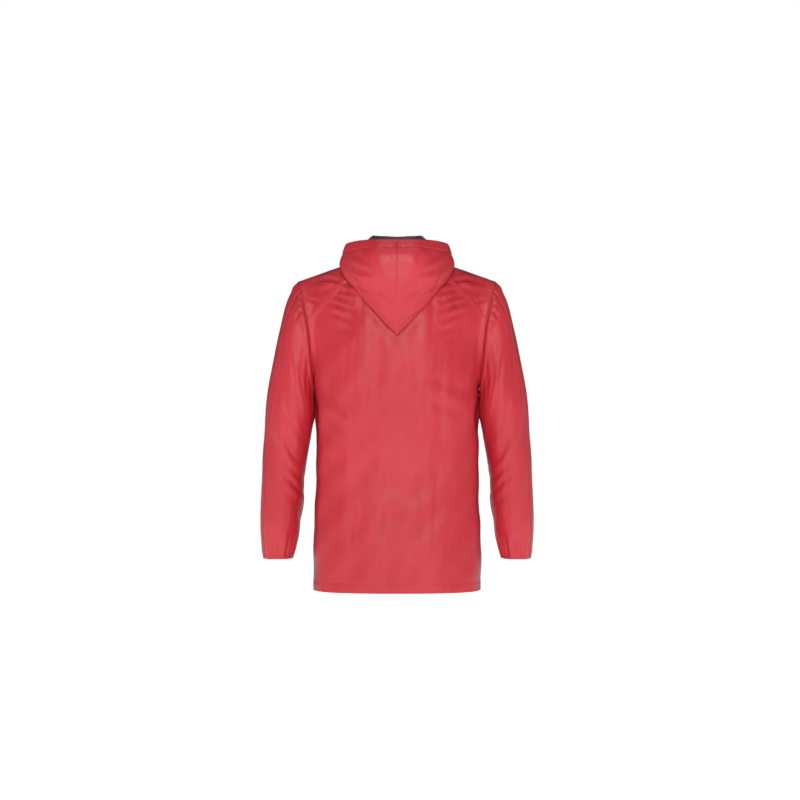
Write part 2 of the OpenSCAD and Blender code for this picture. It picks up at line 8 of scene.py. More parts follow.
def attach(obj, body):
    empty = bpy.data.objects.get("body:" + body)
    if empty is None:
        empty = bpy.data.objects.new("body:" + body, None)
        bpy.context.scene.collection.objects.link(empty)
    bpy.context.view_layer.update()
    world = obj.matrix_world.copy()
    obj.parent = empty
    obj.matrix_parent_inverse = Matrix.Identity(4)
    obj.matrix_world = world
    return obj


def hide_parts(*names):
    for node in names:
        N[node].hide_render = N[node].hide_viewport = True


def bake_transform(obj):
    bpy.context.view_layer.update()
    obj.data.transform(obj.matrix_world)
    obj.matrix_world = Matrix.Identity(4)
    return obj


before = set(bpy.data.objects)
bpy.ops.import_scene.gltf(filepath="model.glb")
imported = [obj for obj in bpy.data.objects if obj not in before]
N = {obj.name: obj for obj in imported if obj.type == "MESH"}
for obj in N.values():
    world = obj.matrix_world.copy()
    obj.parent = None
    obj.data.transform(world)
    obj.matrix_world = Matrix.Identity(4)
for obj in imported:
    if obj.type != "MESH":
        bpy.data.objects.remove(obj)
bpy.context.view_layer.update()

# --- camera and light, in metres
CAMERA_FAR, VIEW_HALF = 4.5, 0.940
scene = bpy.context.scene
cam = bpy.data.objects.new("camera", bpy.data.cameras.new("camera"))
scene.collection.objects.link(cam)
cam.data.sensor_width = 36
cam.data.lens = 18 / (VIEW_HALF / CAMERA_FAR)
cam.location = (-0.007, CAMERA_FAR, -0.329)
cam.rotation_euler = (math.radians(90), 0, math.radians(180))
scene.camera = cam


def area(name, place, target, size, watts):
    light = bpy.data.lights.new(name, "AREA")
    light.energy, light.size = watts, size
    o = bpy.data.objects.new(name, light)
    scene.collection.objects.link(o)
    o.location = place
    o.rotation_euler = (Vector(target) - Vector(place)).to_track_quat("-Z", "Y").to_euler()
    o.visible_camera = False
    return o


MID = (0, 0, -0.35)
area("key", (0.3, 3.9, 1.7), MID, 1.3, 58)
area("front_of_camera", (-0.4, 4.5, 0.5), MID, 1.0, 26)
area("side_left", (3.0, 0.3, 0.8), MID, 1.0, 3)
area("side_right", (-3.0, 0.3, 0.8), MID, 1.0, 3)
behind = area("behind", (-0.7, -3.8, 1.4), MID, 1.8, 62)
behind.visible_glossy = False  # keeps its glint off the shoulders' ridge
area("top", (0, 0.5, 2.4), (0, 0, 0), 1.2, 9)
world = bpy.data.worlds.new("world")
scene.world = world
world.use_nodes = True
tree = world.node_tree
sky, white = tree.nodes["Background"], tree.nodes.new("ShaderNodeBackground")
sky.inputs[0].default_value, sky.inputs[1].default_value = (0.95, 0.97, 1, 1), 0.13
white.inputs[0].default_value = (1, 1, 1, 1)
pick, ray = tree.nodes.new("ShaderNodeMixShader"), tree.nodes.new("ShaderNodeLightPath")
for a, b in ((ray.outputs["Is Camera Ray"], pick.inputs[0]), (sky.outputs[0], pick.inputs[1]),
             (white.outputs[0], pick.inputs[2]), (pick.outputs[0], tree.nodes["World Output"].inputs[0])):
    tree.links.new(a, b)
scene.view_settings.view_transform = "Standard"

# --- shape, in millimetres, as in part.scad
LENGTH, WAIST, HEM, CHEST = 772, 189, 196, 193
BACK, FRONT = 118, 132
SHOULDER, DROP, ARM, ARM_D = 234, 52, 300, 62
NECK, NECK_BACK, NECK_DROP = 78, 65, 72
TOP, TOP_BACK = 63, 26
BOX, OVAL, ARCH = 2.8, 2.2, 2.6
FLAT, ZIP_TOP = 20, 90
YOKE = 0.62
ARM_BOW, COLLAR_FLAT = 11.5, 61
HEM_TURN, CUFF_TURN = 20, 9  # width of the turned edges


def smooth(t):
    c = np.clip(t, 0, 1)
    return c * c * (3 - 2 * c)


def lerp(a, b, t):
    return a + (b - a) * t


def row(f, x, v):
    """The surface f along x, at the one height or share v."""
    return f(x, np.full(x.shape, v))


def fade(t, p, q=None):
    return np.maximum(0, 1 - np.abs(t) ** p) ** (1 / (q if q is not None else p))


def zip_depth(z):
    return lerp(FRONT, ZIP_TOP, (z + LENGTH) / (TOP + LENGTH))


def half_width(z):
    fill = 5 * np.exp(-((z + 356) / 34) ** 2) * smooth((-z - ARM) / 30)
    low = (HEM - WAIST) * smooth((-z - 520) / 190)
    return fill + WAIST + low + (CHEST - WAIST) * (1 - smooth((-z - ARM) / 50))


def back_depth(z):
    return 112 + 6 * (1 - smooth((-z - ARM) / 150)) + 14 * smooth((-z - 480) / 220)


def lower_back(x, z):
    return np.stack([x, np.maximum(0.05, back_depth(z) * fade(x / half_width(z), BOX)), z], -1)


def lower_front(x, z):
    t = np.maximum(0, x - FLAT) / (half_width(z) - FLAT)
    return np.stack([x, -np.maximum(0.05, zip_depth(z) * fade(np.minimum(t, 1), BOX)), z], -1)


def armhole_in(s):
    return ARM_BOW * np.sin(np.pi * np.clip(s, 0, 1) ** 1.3)


def armhole_half(s):
    return lerp(CHEST, SHOULDER, s) - armhole_in(s)


def shoulder_z(x):
    return -DROP * (np.maximum(0, x - NECK) / (SHOULDER - NECK)) ** 1.1


def across(mid, t, s):
    edge = 2 * ARM_D * np.sqrt(np.maximum(0, s * (1 - s)))
    k = lerp(BOX, 1.7, smooth(s / 0.5))
    side = np.maximum(0, 1 - t ** BOX) ** (1 / k)
    return np.maximum(0.05, ((edge * t ** 1.5) ** 3 + (mid * side) ** 3) ** (1 / 3))


def upper_back(x, s):
    ax = np.abs(x)
    inn = ax < NECK
    q = np.minimum(ax / NECK, 1)
    top_y = np.where(inn, NECK_BACK * fade(q, OVAL), 0)
    top_z = np.where(inn, 8 * (1 - q ** 2), shoulder_z(ax))
    mid = lerp(top_y, BACK, fade(s, ARCH))
    return np.stack([x, across(mid, np.minimum(1, ax / armhole_half(s)), s), lerp(-ARM, top_z, s)], -1)


def upper_front(x, s):
    q = np.minimum(np.abs(x) / NECK, 1)
    top_z = np.where(x < NECK, -NECK_DROP * np.maximum(0, 1 - q ** 2) ** 0.9, shoulder_z(x))
    ins = np.maximum(0, x - FLAT)
    top_y = np.where(x < NECK, zip_depth(top_z) * fade(np.minimum(ins / (NECK - FLAT), 1), OVAL), 0)
    share = 1 - smooth(ins / 70)
    mid = lerp(top_y, zip_depth(-ARM), lerp(fade(s, ARCH), 1 - s, share))
    y = across(mid, np.minimum(1, ins / (armhole_half(s) - FLAT)), s)
    return np.stack([x, -y, lerp(-ARM, top_z, s)], -1)


def panel_half(s):
    k = np.maximum(0, (s - YOKE) / (1 - YOKE))
    return armhole_half(s) * lerp(1, NECK / SHOULDER, k)


# --- relief: broad waves, folds and seams
def waves(seed, n, lx, lz):
    """Smooth random relief from n plane waves, about 1 in size, with lengths near lx and lz."""
    r = np.random.default_rng(seed)
    kx, kz = r.normal(0, 2 * math.pi / lx, n), r.normal(0, 2 * math.pi / lz, n)
    ph, am = r.uniform(0, 6.28, n), r.uniform(0.5, 1, n)
    am = am / math.sqrt((am ** 2).sum() / 2)
    return lambda x, z: sum(a * np.cos(p * x + q * z + f) for p, q, f, a in zip(kx, kz, ph, am))


def stroke(x, z, pts, width, amp):
    """A fold: a ridge with a valley below it along the line pts, fading at both ends."""
    pts = np.array(pts, float)
    seg = np.linalg.norm(np.diff(pts, axis=0), axis=1)
    total, done = seg.sum(), 0
    best = np.full(np.shape(x), 1e9)
    side, along = np.zeros(np.shape(x)), np.zeros(np.shape(x))
    for a, b, l in zip(pts[:-1], pts[1:], seg):
        d = (b - a) / l
        px, pz = x - a[0], z - a[1]
        t = np.clip(px * d[0] + pz * d[1], 0, l)
        qx, qz = px - t * d[0], pz - t * d[1]
        dist = np.hypot(qx, qz)
        near = dist < best
        best = np.where(near, dist, best)
        side = np.where(near, np.sign(px * -d[1] + pz * d[0]) * dist, side)
        along = np.where(near, (done + t) / total, along)
        done += l
    taper = np.sin(np.pi * np.clip(along, 0.02, 0.98)) ** 0.7
    over = np.exp(-(np.maximum(0, best - np.abs(side)) / width) ** 2)
    q = side / width
    return amp * taper * over * (np.exp(-q * q) - 0.8 * np.exp(-(np.abs(q) - 1.5) ** 2 * 1.4))


def with_folds(r, x, z, folds, scale=1):
    for pts, width, amp in folds:
        r = r + stroke(x, z, pts, width, scale * amp)
    return r


SHOULDER_FOLDS = [
    ([(186, -45), (150, -51), (108, -60)], 5.5, -5.0), ([(148, -73), (120, -79), (88, -86)], 4.2, -3.6),
    ([(150, -87), (130, -94), (102, -105)], 4.2, -3.8), ([(166, -102), (130, -113), (98, -127)], 5, -4.4),
    ([(156, -128), (130, -138), (104, -151)], 5, -2.8), ([(222, -80), (206, -95), (184, -104)], 5, -3.4),
    ([(204, -62), (176, -66), (150, -62)], 7, 2.2), ([(134, -160), (104, -176)], 7, -1.6),
    ([(212, -150), (196, -190), (186, -230)], 8, -1.8),
]
BACK_FOLDS = [([(176, -330), (120, -372), (60, -392)], 15, 1.8), ([(184, -420), (140, -452)], 13, 1.4),
              ([(30, -560), (-90, -590)], 24, 1.3), ([(-60, -300), (-168, -340)], 17, 1.7)]
FRONT_FOLDS = [([(150, -62), (100, -104)], 7, 2.6), ([(180, -120), (130, -158)], 8, 2.4),
               ([(60, -92), (110, -150)], 8, 2.0), ([(180, -330), (110, -380)], 13, 2.2),
               ([(90, -460), (60, -560)], 12, 1.2)]
BROAD = waves(3, 9, 170, 320)
STREAK = waves(5, 12, 46, 420)
SMALL = waves(8, 14, 26, 60)


HOOD_LINE = ((100, -72), (88, -88), (44, -138), (0, -186))


def under_hood(ax, z):
    """The back's cloth sinks a little along the edge of the hood that lies on it."""
    far = np.full(np.shape(ax), 1e9)
    for (x0, z0), (x1, z1) in zip(HOOD_LINE[:-1], HOOD_LINE[1:]):
        dx, dz = x1 - x0, z1 - z0
        t = np.clip(((ax - x0) * dx + (z - z0) * dz) / (dx * dx + dz * dz), 0, 1)
        far = np.minimum(far, np.hypot(ax - x0 - t * dx, z - z0 - t * dz))
    return -5.0 * np.exp(-(far / 15) ** 2) * smooth((-z - 70) / 60)


def back_relief(x, z):
    ax = np.abs(x)
    r = 1.5 * BROAD(x, z) + 0.35 * STREAK(x, z) + 0.16 * SMALL(x, z)
    # the right shoulder's folds lie 2.1 mm nearer the middle than the left one's
    r = with_folds(r, ax + np.where(x < 0, 0.35 * 6, 0), z, SHOULDER_FOLDS, 1.25)
    r = r + under_hood(ax, z) - 9 * np.exp(-((ax - 193) / 8) ** 2) * np.exp(-((z + 368) / 32) ** 2)
    return with_folds(r, x, z, BACK_FOLDS) * smooth((LENGTH + z) / 30 + 0.25)


def front_relief(x, z):
    r = 1.4 * BROAD(x + 500, z) + 0.3 * STREAK(x + 500, z) + 0.16 * SMALL(x + 500, z)
    return with_folds(r, x, z, FRONT_FOLDS) * smooth((x - 16) / 30) * smooth((LENGTH + z) / 30 + 0.25)


def hem_relief(g, seed=0):
    """The turned hem stands a little proud below its stitch line, which puckers the cloth."""
    u = np.arctan2(g[..., 1], g[..., 0]) * 150
    line = g[..., 2] + LENGTH - HEM_TURN
    wander = np.sin(u * 0.11 + seed) + np.sin(u * 0.057 + 2 * seed + 1)
    pucker = 0.62 * np.sin(u * 0.42 + 1.6 * wander) * (0.6 + 0.3 * wander) * np.exp(-(line / 8) ** 2)
    return -0.75 * np.exp(-(line / 1.5) ** 2) + 0.45 * (1 - smooth(line / 2 + 0.5)) + pucker


def seam_dip(d, deep=1.1, wide=1.7):
    return 0.55 * np.exp(-((d - 5) / 3.2) ** 2) - deep * np.exp(-(d / wide) ** 2)


# --- meshes from grids
def unit(v):
    return v / np.maximum(1e-9, np.linalg.norm(v, axis=-1, keepdims=True))


def normals(g, wrap=False):
    nxt = np.roll(g, -1, 1) - np.roll(g, 1, 1) if wrap else np.gradient(g, axis=1)
    return unit(np.cross(np.gradient(g, axis=0), nxt))


def relieved(g, r, wrap=False, level=None):
    """Moves the grid out by r; sideways only near the height `level`, where close rows would cross."""
    n = normals(g, wrap)
    if level is not None:
        n[..., 2] *= 1 - np.exp(-((g[..., 2] - level) / 5) ** 2)
    return g + n * np.asarray(r)[..., None]


def run(g, axis=0):
    """Arc length along an axis, from 0 at its start, in millimetres."""
    d = np.cumsum(np.linalg.norm(np.diff(g, axis=axis), axis=-1), axis)
    return np.concatenate([np.zeros_like(d.take([0], axis)), d], axis)


def lengths(g):
    """Arc length along the rows and the columns, in metres, for the weave's coordinates."""
    u = run(g, 1)
    u = u - u[:, [u.shape[1] // 2]]
    v = run(g[:, g.shape[1] // 2])[:, None] + 0 * u
    return u / 1000, v / 1000


def add_mesh(name, points, quads, material):
    """A smooth object from points in millimetres."""
    mesh = bpy.data.meshes.new(name)
    mesh.from_pydata((points / 1000).tolist(), [], quads.tolist())
    mesh.polygons.foreach_set("use_smooth", np.ones(len(mesh.polygons), bool))
    mesh.materials.append(material)
    o = bpy.data.objects.new(name, mesh)
    scene.collection.objects.link(o)
    return o


def grid_piece(name, g, material, wrap=False, thick=0, cut=None):
    rows, cols = g.shape[:2]
    i, j = np.meshgrid(np.arange(rows - 1), np.arange(cols if wrap else cols - 1), indexing="ij")
    jn = (j + 1) % cols
    quads = np.stack([i * cols + j, (i + 1) * cols + j, (i + 1) * cols + jn, i * cols + jn], -1)
    quads = quads.reshape(-1, 4)
    flat = g.reshape(-1, 3)
    if cut is not None:
        quads = quads[~cut(flat[quads].mean(1))]
    o = add_mesh(name, flat, quads, material)
    loop = np.empty(len(o.data.loops), int)
    o.data.loops.foreach_get("vertex_index", loop)
    uv = np.stack([w.ravel()[loop] for w in lengths(g)], -1)
    o.data.uv_layers.new(name="cloth").data.foreach_set("uv", uv.astype(np.float32).ravel())
    if thick:
        m = o.modifiers.new("thickness", "SOLIDIFY")
        m.thickness, m.offset = thick / 1000, -1
    return o


def tube(name, pts, radius, material, sides):
    """A tube along pts, in millimetres."""
    t = unit(np.gradient(pts, axis=0))
    ref = np.tile([0.0, 0.0, 1.0], (len(pts), 1))
    ref[np.abs(t[:, 2]) > 0.9] = (0, 1, 0)
    a = unit(np.cross(t, ref))
    b = np.cross(t, a)
    ang = np.arange(sides) * 2 * math.pi / sides
    turn = a[:, None] * np.cos(ang)[None, :, None] + b[:, None] * np.sin(ang)[None, :, None]
    return grid_piece(name, pts[:, None] + radius * turn, material, wrap=True)


def interpolated(at, d, v):
    """The columns of v, known at the distances d, at the distances `at`."""
    return np.stack([np.interp(at, d, v[:, k]) for k in range(3)], -1)


PITCH, STITCH, THREAD_R, LIFT = 3.4, 2.5, 0.32, 0.15
STITCH_SHAPE = [(-1.0, 0.15, -0.6), (-0.6, 0.9, 0.1), (0.0, 1.0, 0.35), (0.6, 0.9, 0.1), (1.0, 0.15, -0.6)]


def stitches(name, pts, nrm):
    """Six-sided thread stitches lying along a line on the cloth."""
    d = run(pts)
    count = max(1, int(d[-1] / PITCH))
    mid = (np.arange(count) + 0.5) * d[-1] / count
    c, n = interpolated(mid, d, pts), unit(interpolated(mid, d, nrm))
    t = unit(interpolated(mid + STITCH / 2, d, pts) - interpolated(mid - STITCH / 2, d, pts))
    s = np.cross(t, n)
    k, verts = 6, []
    for f, w, up in STITCH_SHAPE:
        for an in (2 * math.pi * q / k for q in range(k)):
            verts.append(c + t * f * STITCH / 2 + n * (LIFT + THREAD_R * (up + w * math.sin(an)))
                         + s * THREAD_R * w * math.cos(an))
    faces = [[p * k + q, p * k + (q + 1) % k, (p + 1) * k + (q + 1) % k, (p + 1) * k + q]
             for p in range(len(STITCH_SHAPE) - 1) for q in range(k)]
    faces = (np.array(faces)[None] + (np.arange(count) * len(verts))[:, None, None]).reshape(-1, 4)
    return add_mesh(name, np.stack(verts, 1).reshape(-1, 3), faces, M_THREAD)


def blend_by(o):
    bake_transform(o)


# --- materials
def shader(name):
    m = bpy.data.materials.new(name)
    m.use_nodes = True
    t = m.node_tree
    return m, t, t.nodes["Principled BSDF"]


def link(t, a, b):
    t.links.new(a, b)


def put(node, **values):
    for name, value in values.items():
        node.inputs[name.replace("_", " ")].default_value = value


def place_in(t):
    return t.nodes.new("ShaderNodeTexCoord").outputs["Object"]


def noise(t, coords, scale, detail=3.0, rough=0.5):
    n = t.nodes.new("ShaderNodeTexNoise")
    put(n, Scale=scale, Detail=detail, Roughness=rough)
    link(t, coords, n.inputs["Vector"])
    return n.outputs["Fac"]


def spread(t, value, lo, hi, a=0.3, b=0.7):
    n = t.nodes.new("ShaderNodeMapRange")
    put(n, From_Min=a, From_Max=b, To_Min=lo, To_Max=hi)
    link(t, value, n.inputs["Value"])
    return n.outputs["Result"]


def mixed(t, fac, a, b):
    n = t.nodes.new("ShaderNodeMix")
    n.data_type = "RGBA"
    n.inputs[6].default_value, n.inputs[7].default_value = (*a, 1), (*b, 1)
    link(t, fac, n.inputs[0])
    return n.outputs[2]


def bump(t, height, distance, strength=1.0, under=None):
    n = t.nodes.new("ShaderNodeBump")
    put(n, Distance=distance, Strength=strength)
    link(t, height, n.inputs["Height"])
    if under is not None:
        link(t, under, n.inputs["Normal"])
    return n.outputs["Normal"]


def weave(t, pitch, angle=0.0):
    """Plain weave over the cloth's own coordinates, which are in metres."""
    uv = t.nodes.new("ShaderNodeUVMap")
    uv.uv_map = "cloth"
    turn = t.nodes.new("ShaderNodeMapping")
    turn.inputs["Rotation"].default_value = (0, 0, angle)
    link(t, uv.outputs["UV"], turn.inputs["Vector"])
    bands = []
    for way in ("X", "Y"):
        w = t.nodes.new("ShaderNodeTexWave")
        w.bands_direction = way
        put(w, Scale=0.314 / pitch, Distortion=0)
        link(t, turn.outputs["Vector"], w.inputs["Vector"])
        bands.append(w.outputs["Fac"])
    n = t.nodes.new("ShaderNodeMath")
    n.operation = "MAXIMUM"
    link(t, bands[0], n.inputs[0])
    link(t, bands[1], n.inputs[1])
    return n.outputs[0]


def cloth(name, base, deep, rough, pitch, depth, crease=0.0006, sheen=0.0, coat=0.0, angle=0.0, spec=0.5,
          painted_edge_shade=0.0):
    m, t, p = shader(name)
    at = place_in(t)
    big, fine = noise(t, at, 7, 2), noise(t, at, 240, 2)
    colour = mixed(t, spread(t, big, 0, 1, 0.35, 0.7), base, deep)
    # painted shade: the base colour darkens towards deep * 0.3 where the surface turns side-on to the view,
    # standing in for the shade at the cloth's edges; the last argument sets how strongly
    if painted_edge_shade:
        facing = t.nodes.new("ShaderNodeLayerWeight")
        facing.inputs["Blend"].default_value = 0.5
        edge = spread(t, facing.outputs["Facing"], 0, painted_edge_shade, 0.55, 0.9)
        dark = mixed(t, edge, base, [c * 0.3 for c in deep])
        link(t, colour, dark.node.inputs[6])
        colour = dark
    link(t, colour, p.inputs["Base Color"])
    link(t, spread(t, fine, rough - 0.05, rough + 0.06), p.inputs["Roughness"])
    put(p, Sheen_Weight=sheen, Sheen_Roughness=0.4, Coat_Weight=coat, Coat_Roughness=0.35,
        Specular_IOR_Level=spec)
    n = bump(t, noise(t, at, 34, 4, 0.55), crease, 0.8)
    link(t, bump(t, weave(t, pitch, angle), depth, 0.6, n), p.inputs["Normal"])
    return m


def thread(name, colour):
    m, t, p = shader(name)
    at = place_in(t)
    link(t, mixed(t, noise(t, at, 900, 1), [c * 0.8 for c in colour], colour), p.inputs["Base Color"])
    put(p, Roughness=0.55, Sheen_Weight=0.3)
    link(t, bump(t, noise(t, at, 3500, 1), 0.0001), p.inputs["Normal"])
    return m


def hard(name, base, worn, rough, metal, scale=160):
    m, t, p = shader(name)
    at = place_in(t)
    n = noise(t, at, scale, 4)
    link(t, mixed(t, spread(t, n, 0, 1, 0.5, 0.75), base, worn), p.inputs["Base Color"])
    link(t, spread(t, noise(t, at, scale * 3, 2), rough - 0.06, rough + 0.1), p.inputs["Roughness"])
    put(p, Metallic=metal)
    link(t, bump(t, noise(t, at, scale * 8, 2), 0.00003), p.inputs["Normal"])
    return m


RED = (0.65, 0.034, 0.052), (0.58, 0.024, 0.038)
CHAR = (0.088, 0.078, 0.100), (0.066, 0.058, 0.076)
# the same red twice, differing only in painted edge shade: full strength for the body panels (coated_red_body),
# 0.35 of it for the other red pieces (coated_red)
M_RED, M_BODY = (cloth(name, *RED, 0.46, 0.0008, 0.00005, spec=0.42, coat=0.08, painted_edge_shade=painted_edge_shade)
                 for name, painted_edge_shade in (("coated_red", 0.35), ("coated_red_body", 1.0)))
M_LINING = cloth("lining_dark", *CHAR, 0.52, 0.0007, 0.00006, sheen=0.25, crease=0.0008)
M_COLLAR = cloth("collar_dark", *CHAR, 0.6, 0.0016, 0.0002, sheen=0.4, angle=0.78)
M_TAPE = cloth("tape_dark", (0.03, 0.028, 0.033), (0.02, 0.019, 0.023), 0.38, 0.0012, 0.00003,
               crease=0.0002)
M_ZIPTAPE = cloth("zip_tape_woven", (0.028, 0.026, 0.03), (0.018, 0.017, 0.02), 0.65, 0.0013, 0.0002,
                  angle=0.6, crease=0.0001)
M_LABEL = cloth("label_satin", (0.62, 0.62, 0.63), (0.55, 0.55, 0.56), 0.35, 0.0006, 0.00005)
M_ELASTIC = cloth("elastic_ribbed", (0.07, 0.07, 0.075), (0.05, 0.05, 0.055), 0.7, 0.0018, 0.0004,
                  crease=0.0001)
M_THREAD = thread("thread_red", (0.50, 0.045, 0.06))
M_COIL = hard("zip_coil_nylon", (0.025, 0.024, 0.027), (0.04, 0.038, 0.042), 0.34, 0.0)
M_METAL = hard("zip_metal_dark", (0.10, 0.10, 0.105), (0.22, 0.22, 0.23), 0.36, 0.9)

# --- tools for the pieces
SIDES = (("left", 1), ("right", -1))
SHELL_THICK, LINING_THICK, ZIP_TAPE_THICK, SEAM_TAPE_THICK = 1.2, 0.5, 0.6, 0.3


def offset(g, depth, wrap=False):
    return g - normals(g, wrap) * depth


def mirrored(g):
    """The right-hand copy of a left-hand grid, with its outward side still outward."""
    return g[:, ::-1] * np.array([-1, 1, 1])


def edge_distance(g):
    """Distance of each point from the start and from the end of its row, in millimetres."""
    a = run(g, 1)
    return a, a[:, -1:] - a


def line_at(g, d, end=False, up=False, rows=None):
    """Points at distance d from the start or end of every row, or column if `up`, and the normals there."""
    n = normals(g)
    if up:
        g, n = np.swapaxes(g, 0, 1), np.swapaxes(n, 0, 1)
    s = edge_distance(g)[end]
    way = slice(None, None, -1) if end else slice(None)
    return [np.array([[np.interp(d, s[i][way], v[i, way, k]) for k in range(3)]
                      for i in rows or range(len(g))]) for v in (g, n)]


def closed_up(g, wrap):
    return np.concatenate([g, g[:, :1]], 1) if wrap else g


def declare(g, wrap=False):
    """Works out how wide and long the surface is along its rows and columns, in metres rounded up to 2 mm; the
    result is not used.
    """
    h = closed_up(g, wrap)
    w, l = (np.linalg.norm(np.diff(h, axis=k), axis=-1).sum(k).max() / 1000 for k in (1, 0))
    w, l = max(0.01, math.ceil(w * 500) / 500), max(0.01, math.ceil(l * 500) / 500)


def shell_piece(o, nodes):
    if nodes:
        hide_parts(*nodes)
    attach(o, "shell")
    return o


def single(name, g, material, node, thick, flat=None, cut=None):
    """A hung piece on the shell; `flat` is the grid it is measured on, if not its own."""
    o = shell_piece(grid_piece(name, g, material, thick=thick, cut=cut), [node])
    declare(g if flat is None else flat)


def pair(g, name, material, nodes, wrap=False, thick=0.0, held="hung", body="shell",
         cut=None):
    """The left-hand piece from its grid, and the right-hand piece as its mirror image."""
    out = []
    for side, sign in SIDES:
        gg = g if sign == 1 else mirrored(g)
        o = grid_piece(name + "_" + side, gg, material, wrap, thick, cut(sign) if cut else None)
        if nodes:
            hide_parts(*[n + "_" + side for n in nodes])
        if body:
            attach(o, body)
        if held:
            declare(g, wrap)
        out.append((o, side, sign))
    return out


def nearest(o, ref, weights):
    """For each vertex, the weight at the nearest point of the cloth that the piece is sewn to."""
    tree = KDTree(len(ref))
    for i, p in enumerate(ref / 1000):
        tree.insert(p, i)
    tree.balance()
    return [weights[tree.find(v.co)[1]] for v in o.data.vertices]


# --- body shell
LOW_Z = np.linspace(-LENGTH, -ARM, 132)[:-1]
UP_S = np.concatenate([YOKE * (1 - np.cos(np.linspace(0, math.pi / 2, 46)))[:-1],
                       YOKE + (1 - YOKE) * np.sin(np.linspace(0, math.pi / 2, 34))])
# for every row: 0 up to the armhole, 1 at the top
UP_SHARE = np.concatenate([np.zeros(len(LOW_Z)), UP_S])[:, None]


def spaced(n):
    """Shares from 0 to 1 with finer steps at the corner of the body's section."""
    return np.sin(np.linspace(0, math.pi / 2, n)) ** (2 / BOX)


def both_ways(q):
    return np.concatenate([-q[:0:-1], q])


q = both_ways(spaced(64))
g = np.stack([row(lower_back, q * half_width(z), z) for z in LOW_Z]
             + [row(upper_back, q * panel_half(s), s) for s in UP_S])
near = np.minimum(*edge_distance(g))
seam = seam_dip(near, 0.9) * np.where(UP_SHARE > YOKE, 0.5, 1)
relief = back_relief(g[..., 0], g[..., 2]) * smooth(near / 26) + seam
relief = relief + hem_relief(g)
relief = relief - 0.9 * np.exp(-((1 - UP_SHARE) * 300 / 2.2) ** 2) * (np.abs(g[..., 0]) < NECK + 4)
G_BACK = relieved(g, relief, level=-ARM)
BACK_CLOTH = grid_piece("shell_back", G_BACK, M_BODY, thick=SHELL_THICK)
shell_piece(BACK_CLOTH, ["back_panel"])


def one(f, *v):
    return f(*[np.array(float(x)) for x in v])


# the pocket's frame: P_A is the top of the slit and P_B its bottom, on the cloth's surface
P_A, P_B = one(lower_front, 105, -455), one(lower_front, 125, -625)
P_LEN = float(np.linalg.norm(P_A - P_B))
P_UP = (P_A - P_B) / P_LEN
P_ACROSS = one(lower_front, 120, -540) - one(lower_front, 110, -540)
P_IN = -np.cross(P_ACROSS, P_UP)
P_IN /= np.linalg.norm(P_IN)
P_SIDE = np.cross(P_IN, P_UP)


def pocket_local(p):
    d = p - P_A
    return d @ P_SIDE, d @ P_IN, d @ P_UP


def slit(sign):
    def cut(c):
        s, i, u = pocket_local(c * np.array([sign, 1, 1]))
        return (np.abs(s) < 7.2) & (u < 2) & (u > -P_LEN - 2) & (np.abs(i) < 20)
    return cut


FRONT_SHARES, ZIP_XS = spaced(70)[::-1], [17, 14, 11, 8.6, 8.0]


def front_row(f, half, v):
    return row(f, np.concatenate([FLAT + (float(half) - FLAT) * FRONT_SHARES, ZIP_XS]), v)


g = np.stack([front_row(lower_front, half_width(z), z) for z in LOW_Z]
             + [front_row(upper_front, panel_half(s), s) for s in UP_S])
a, b = edge_distance(g)
relief = front_relief(g[..., 0], g[..., 2]) * smooth(a / 26) + seam_dip(a) + hem_relief(g, 2)
relief = relief - 0.8 * np.exp(-(b / 1.1) ** 2) - 0.4 * np.exp(-((b - 7) / 1.2) ** 2)
s, i, u = pocket_local(g)
near = (np.abs(i) < 15) * smooth((16 - np.abs(s)) / 5) * smooth((u + P_LEN + 16) / 6) * smooth((16 - u) / 6)
relief = relief * (1 - near)
relief = relief - 0.9 * np.exp(-((1 - UP_SHARE) * 250 / 2.2) ** 2) * (g[..., 0] < NECK + 4)
G_FRONT = relieved(g, relief, level=-ARM)
FRONTS = pair(G_FRONT, "shell_front", M_BODY, ["front_panel"], thick=SHELL_THICK, held=None,
              cut=slit)

# --- shoulder yokes
ys = UP_S[UP_S >= YOKE]
ys[0] = YOKE + 0.0005
c = np.linspace(0, 1, 46)


def yoke_rows(f, ss):
    return [row(f, lerp(float(panel_half(s)), float(armhole_half(s)), c), s) for s in ss]


G_YOKE = np.stack(yoke_rows(upper_back, ys) + yoke_rows(upper_front, ys[-2::-1]))
a, b = edge_distance(G_YOKE)
relief = back_relief(G_YOKE[..., 0], G_YOKE[..., 2]) * smooth(a / 22) * smooth(b / 22)
relief = relief * smooth(G_YOKE[..., 1] / 34)
G_YOKE = relieved(G_YOKE, relief + 0.55 * seam_dip(a) + seam_dip(b))
YOKES = pair(G_YOKE, "shell_yoke", M_BODY, ["shoulder_yoke"], thick=SHELL_THICK, held=None)


def armhole_line():
    """The body's edge round the left armhole, up the back and down the front: its points, the direction
    into the body's cloth there, and the cloth's outward normals."""
    rows = slice(len(LOW_Z), len(LOW_Z) + int((UP_S < YOKE).sum()))
    parts = ((G_BACK[rows], -1, -5, 1), (G_YOKE, -1, -5, 1), (G_FRONT[rows], 0, 4, -1))
    edge, into, out = [], [], []
    for g, e, i, way in parts:
        edge.append(g[::way, e])
        into.append((g[:, i] - g[:, e])[::way])
    for (g, e, i, way), whole in zip(parts, (G_BACK, G_YOKE, G_FRONT)):
        n = normals(whole)
        out.append((n if whole is G_YOKE else n[rows])[::way, e])
    edge, into, out = np.concatenate(edge), np.concatenate(into), np.concatenate(out)
    d = run(edge)
    at = np.linspace(0, d[-1], 1500)
    edge, into, out = (interpolated(at, d, v) for v in (edge, into, out))
    return edge, unit(into), unit(out)


ARM_EDGE, ARM_INTO, ARM_OUT = armhole_line()


def sewn_under(row):
    """Points just under the body's cloth, at the places on the armhole's edge nearest to a sleeve's top."""
    k = np.linalg.norm(row[:, None] - ARM_EDGE[None], axis=-1).argmin(1)
    return ARM_EDGE[k] + 3.2 * ARM_INTO[k] - 1.7 * ARM_OUT[k]

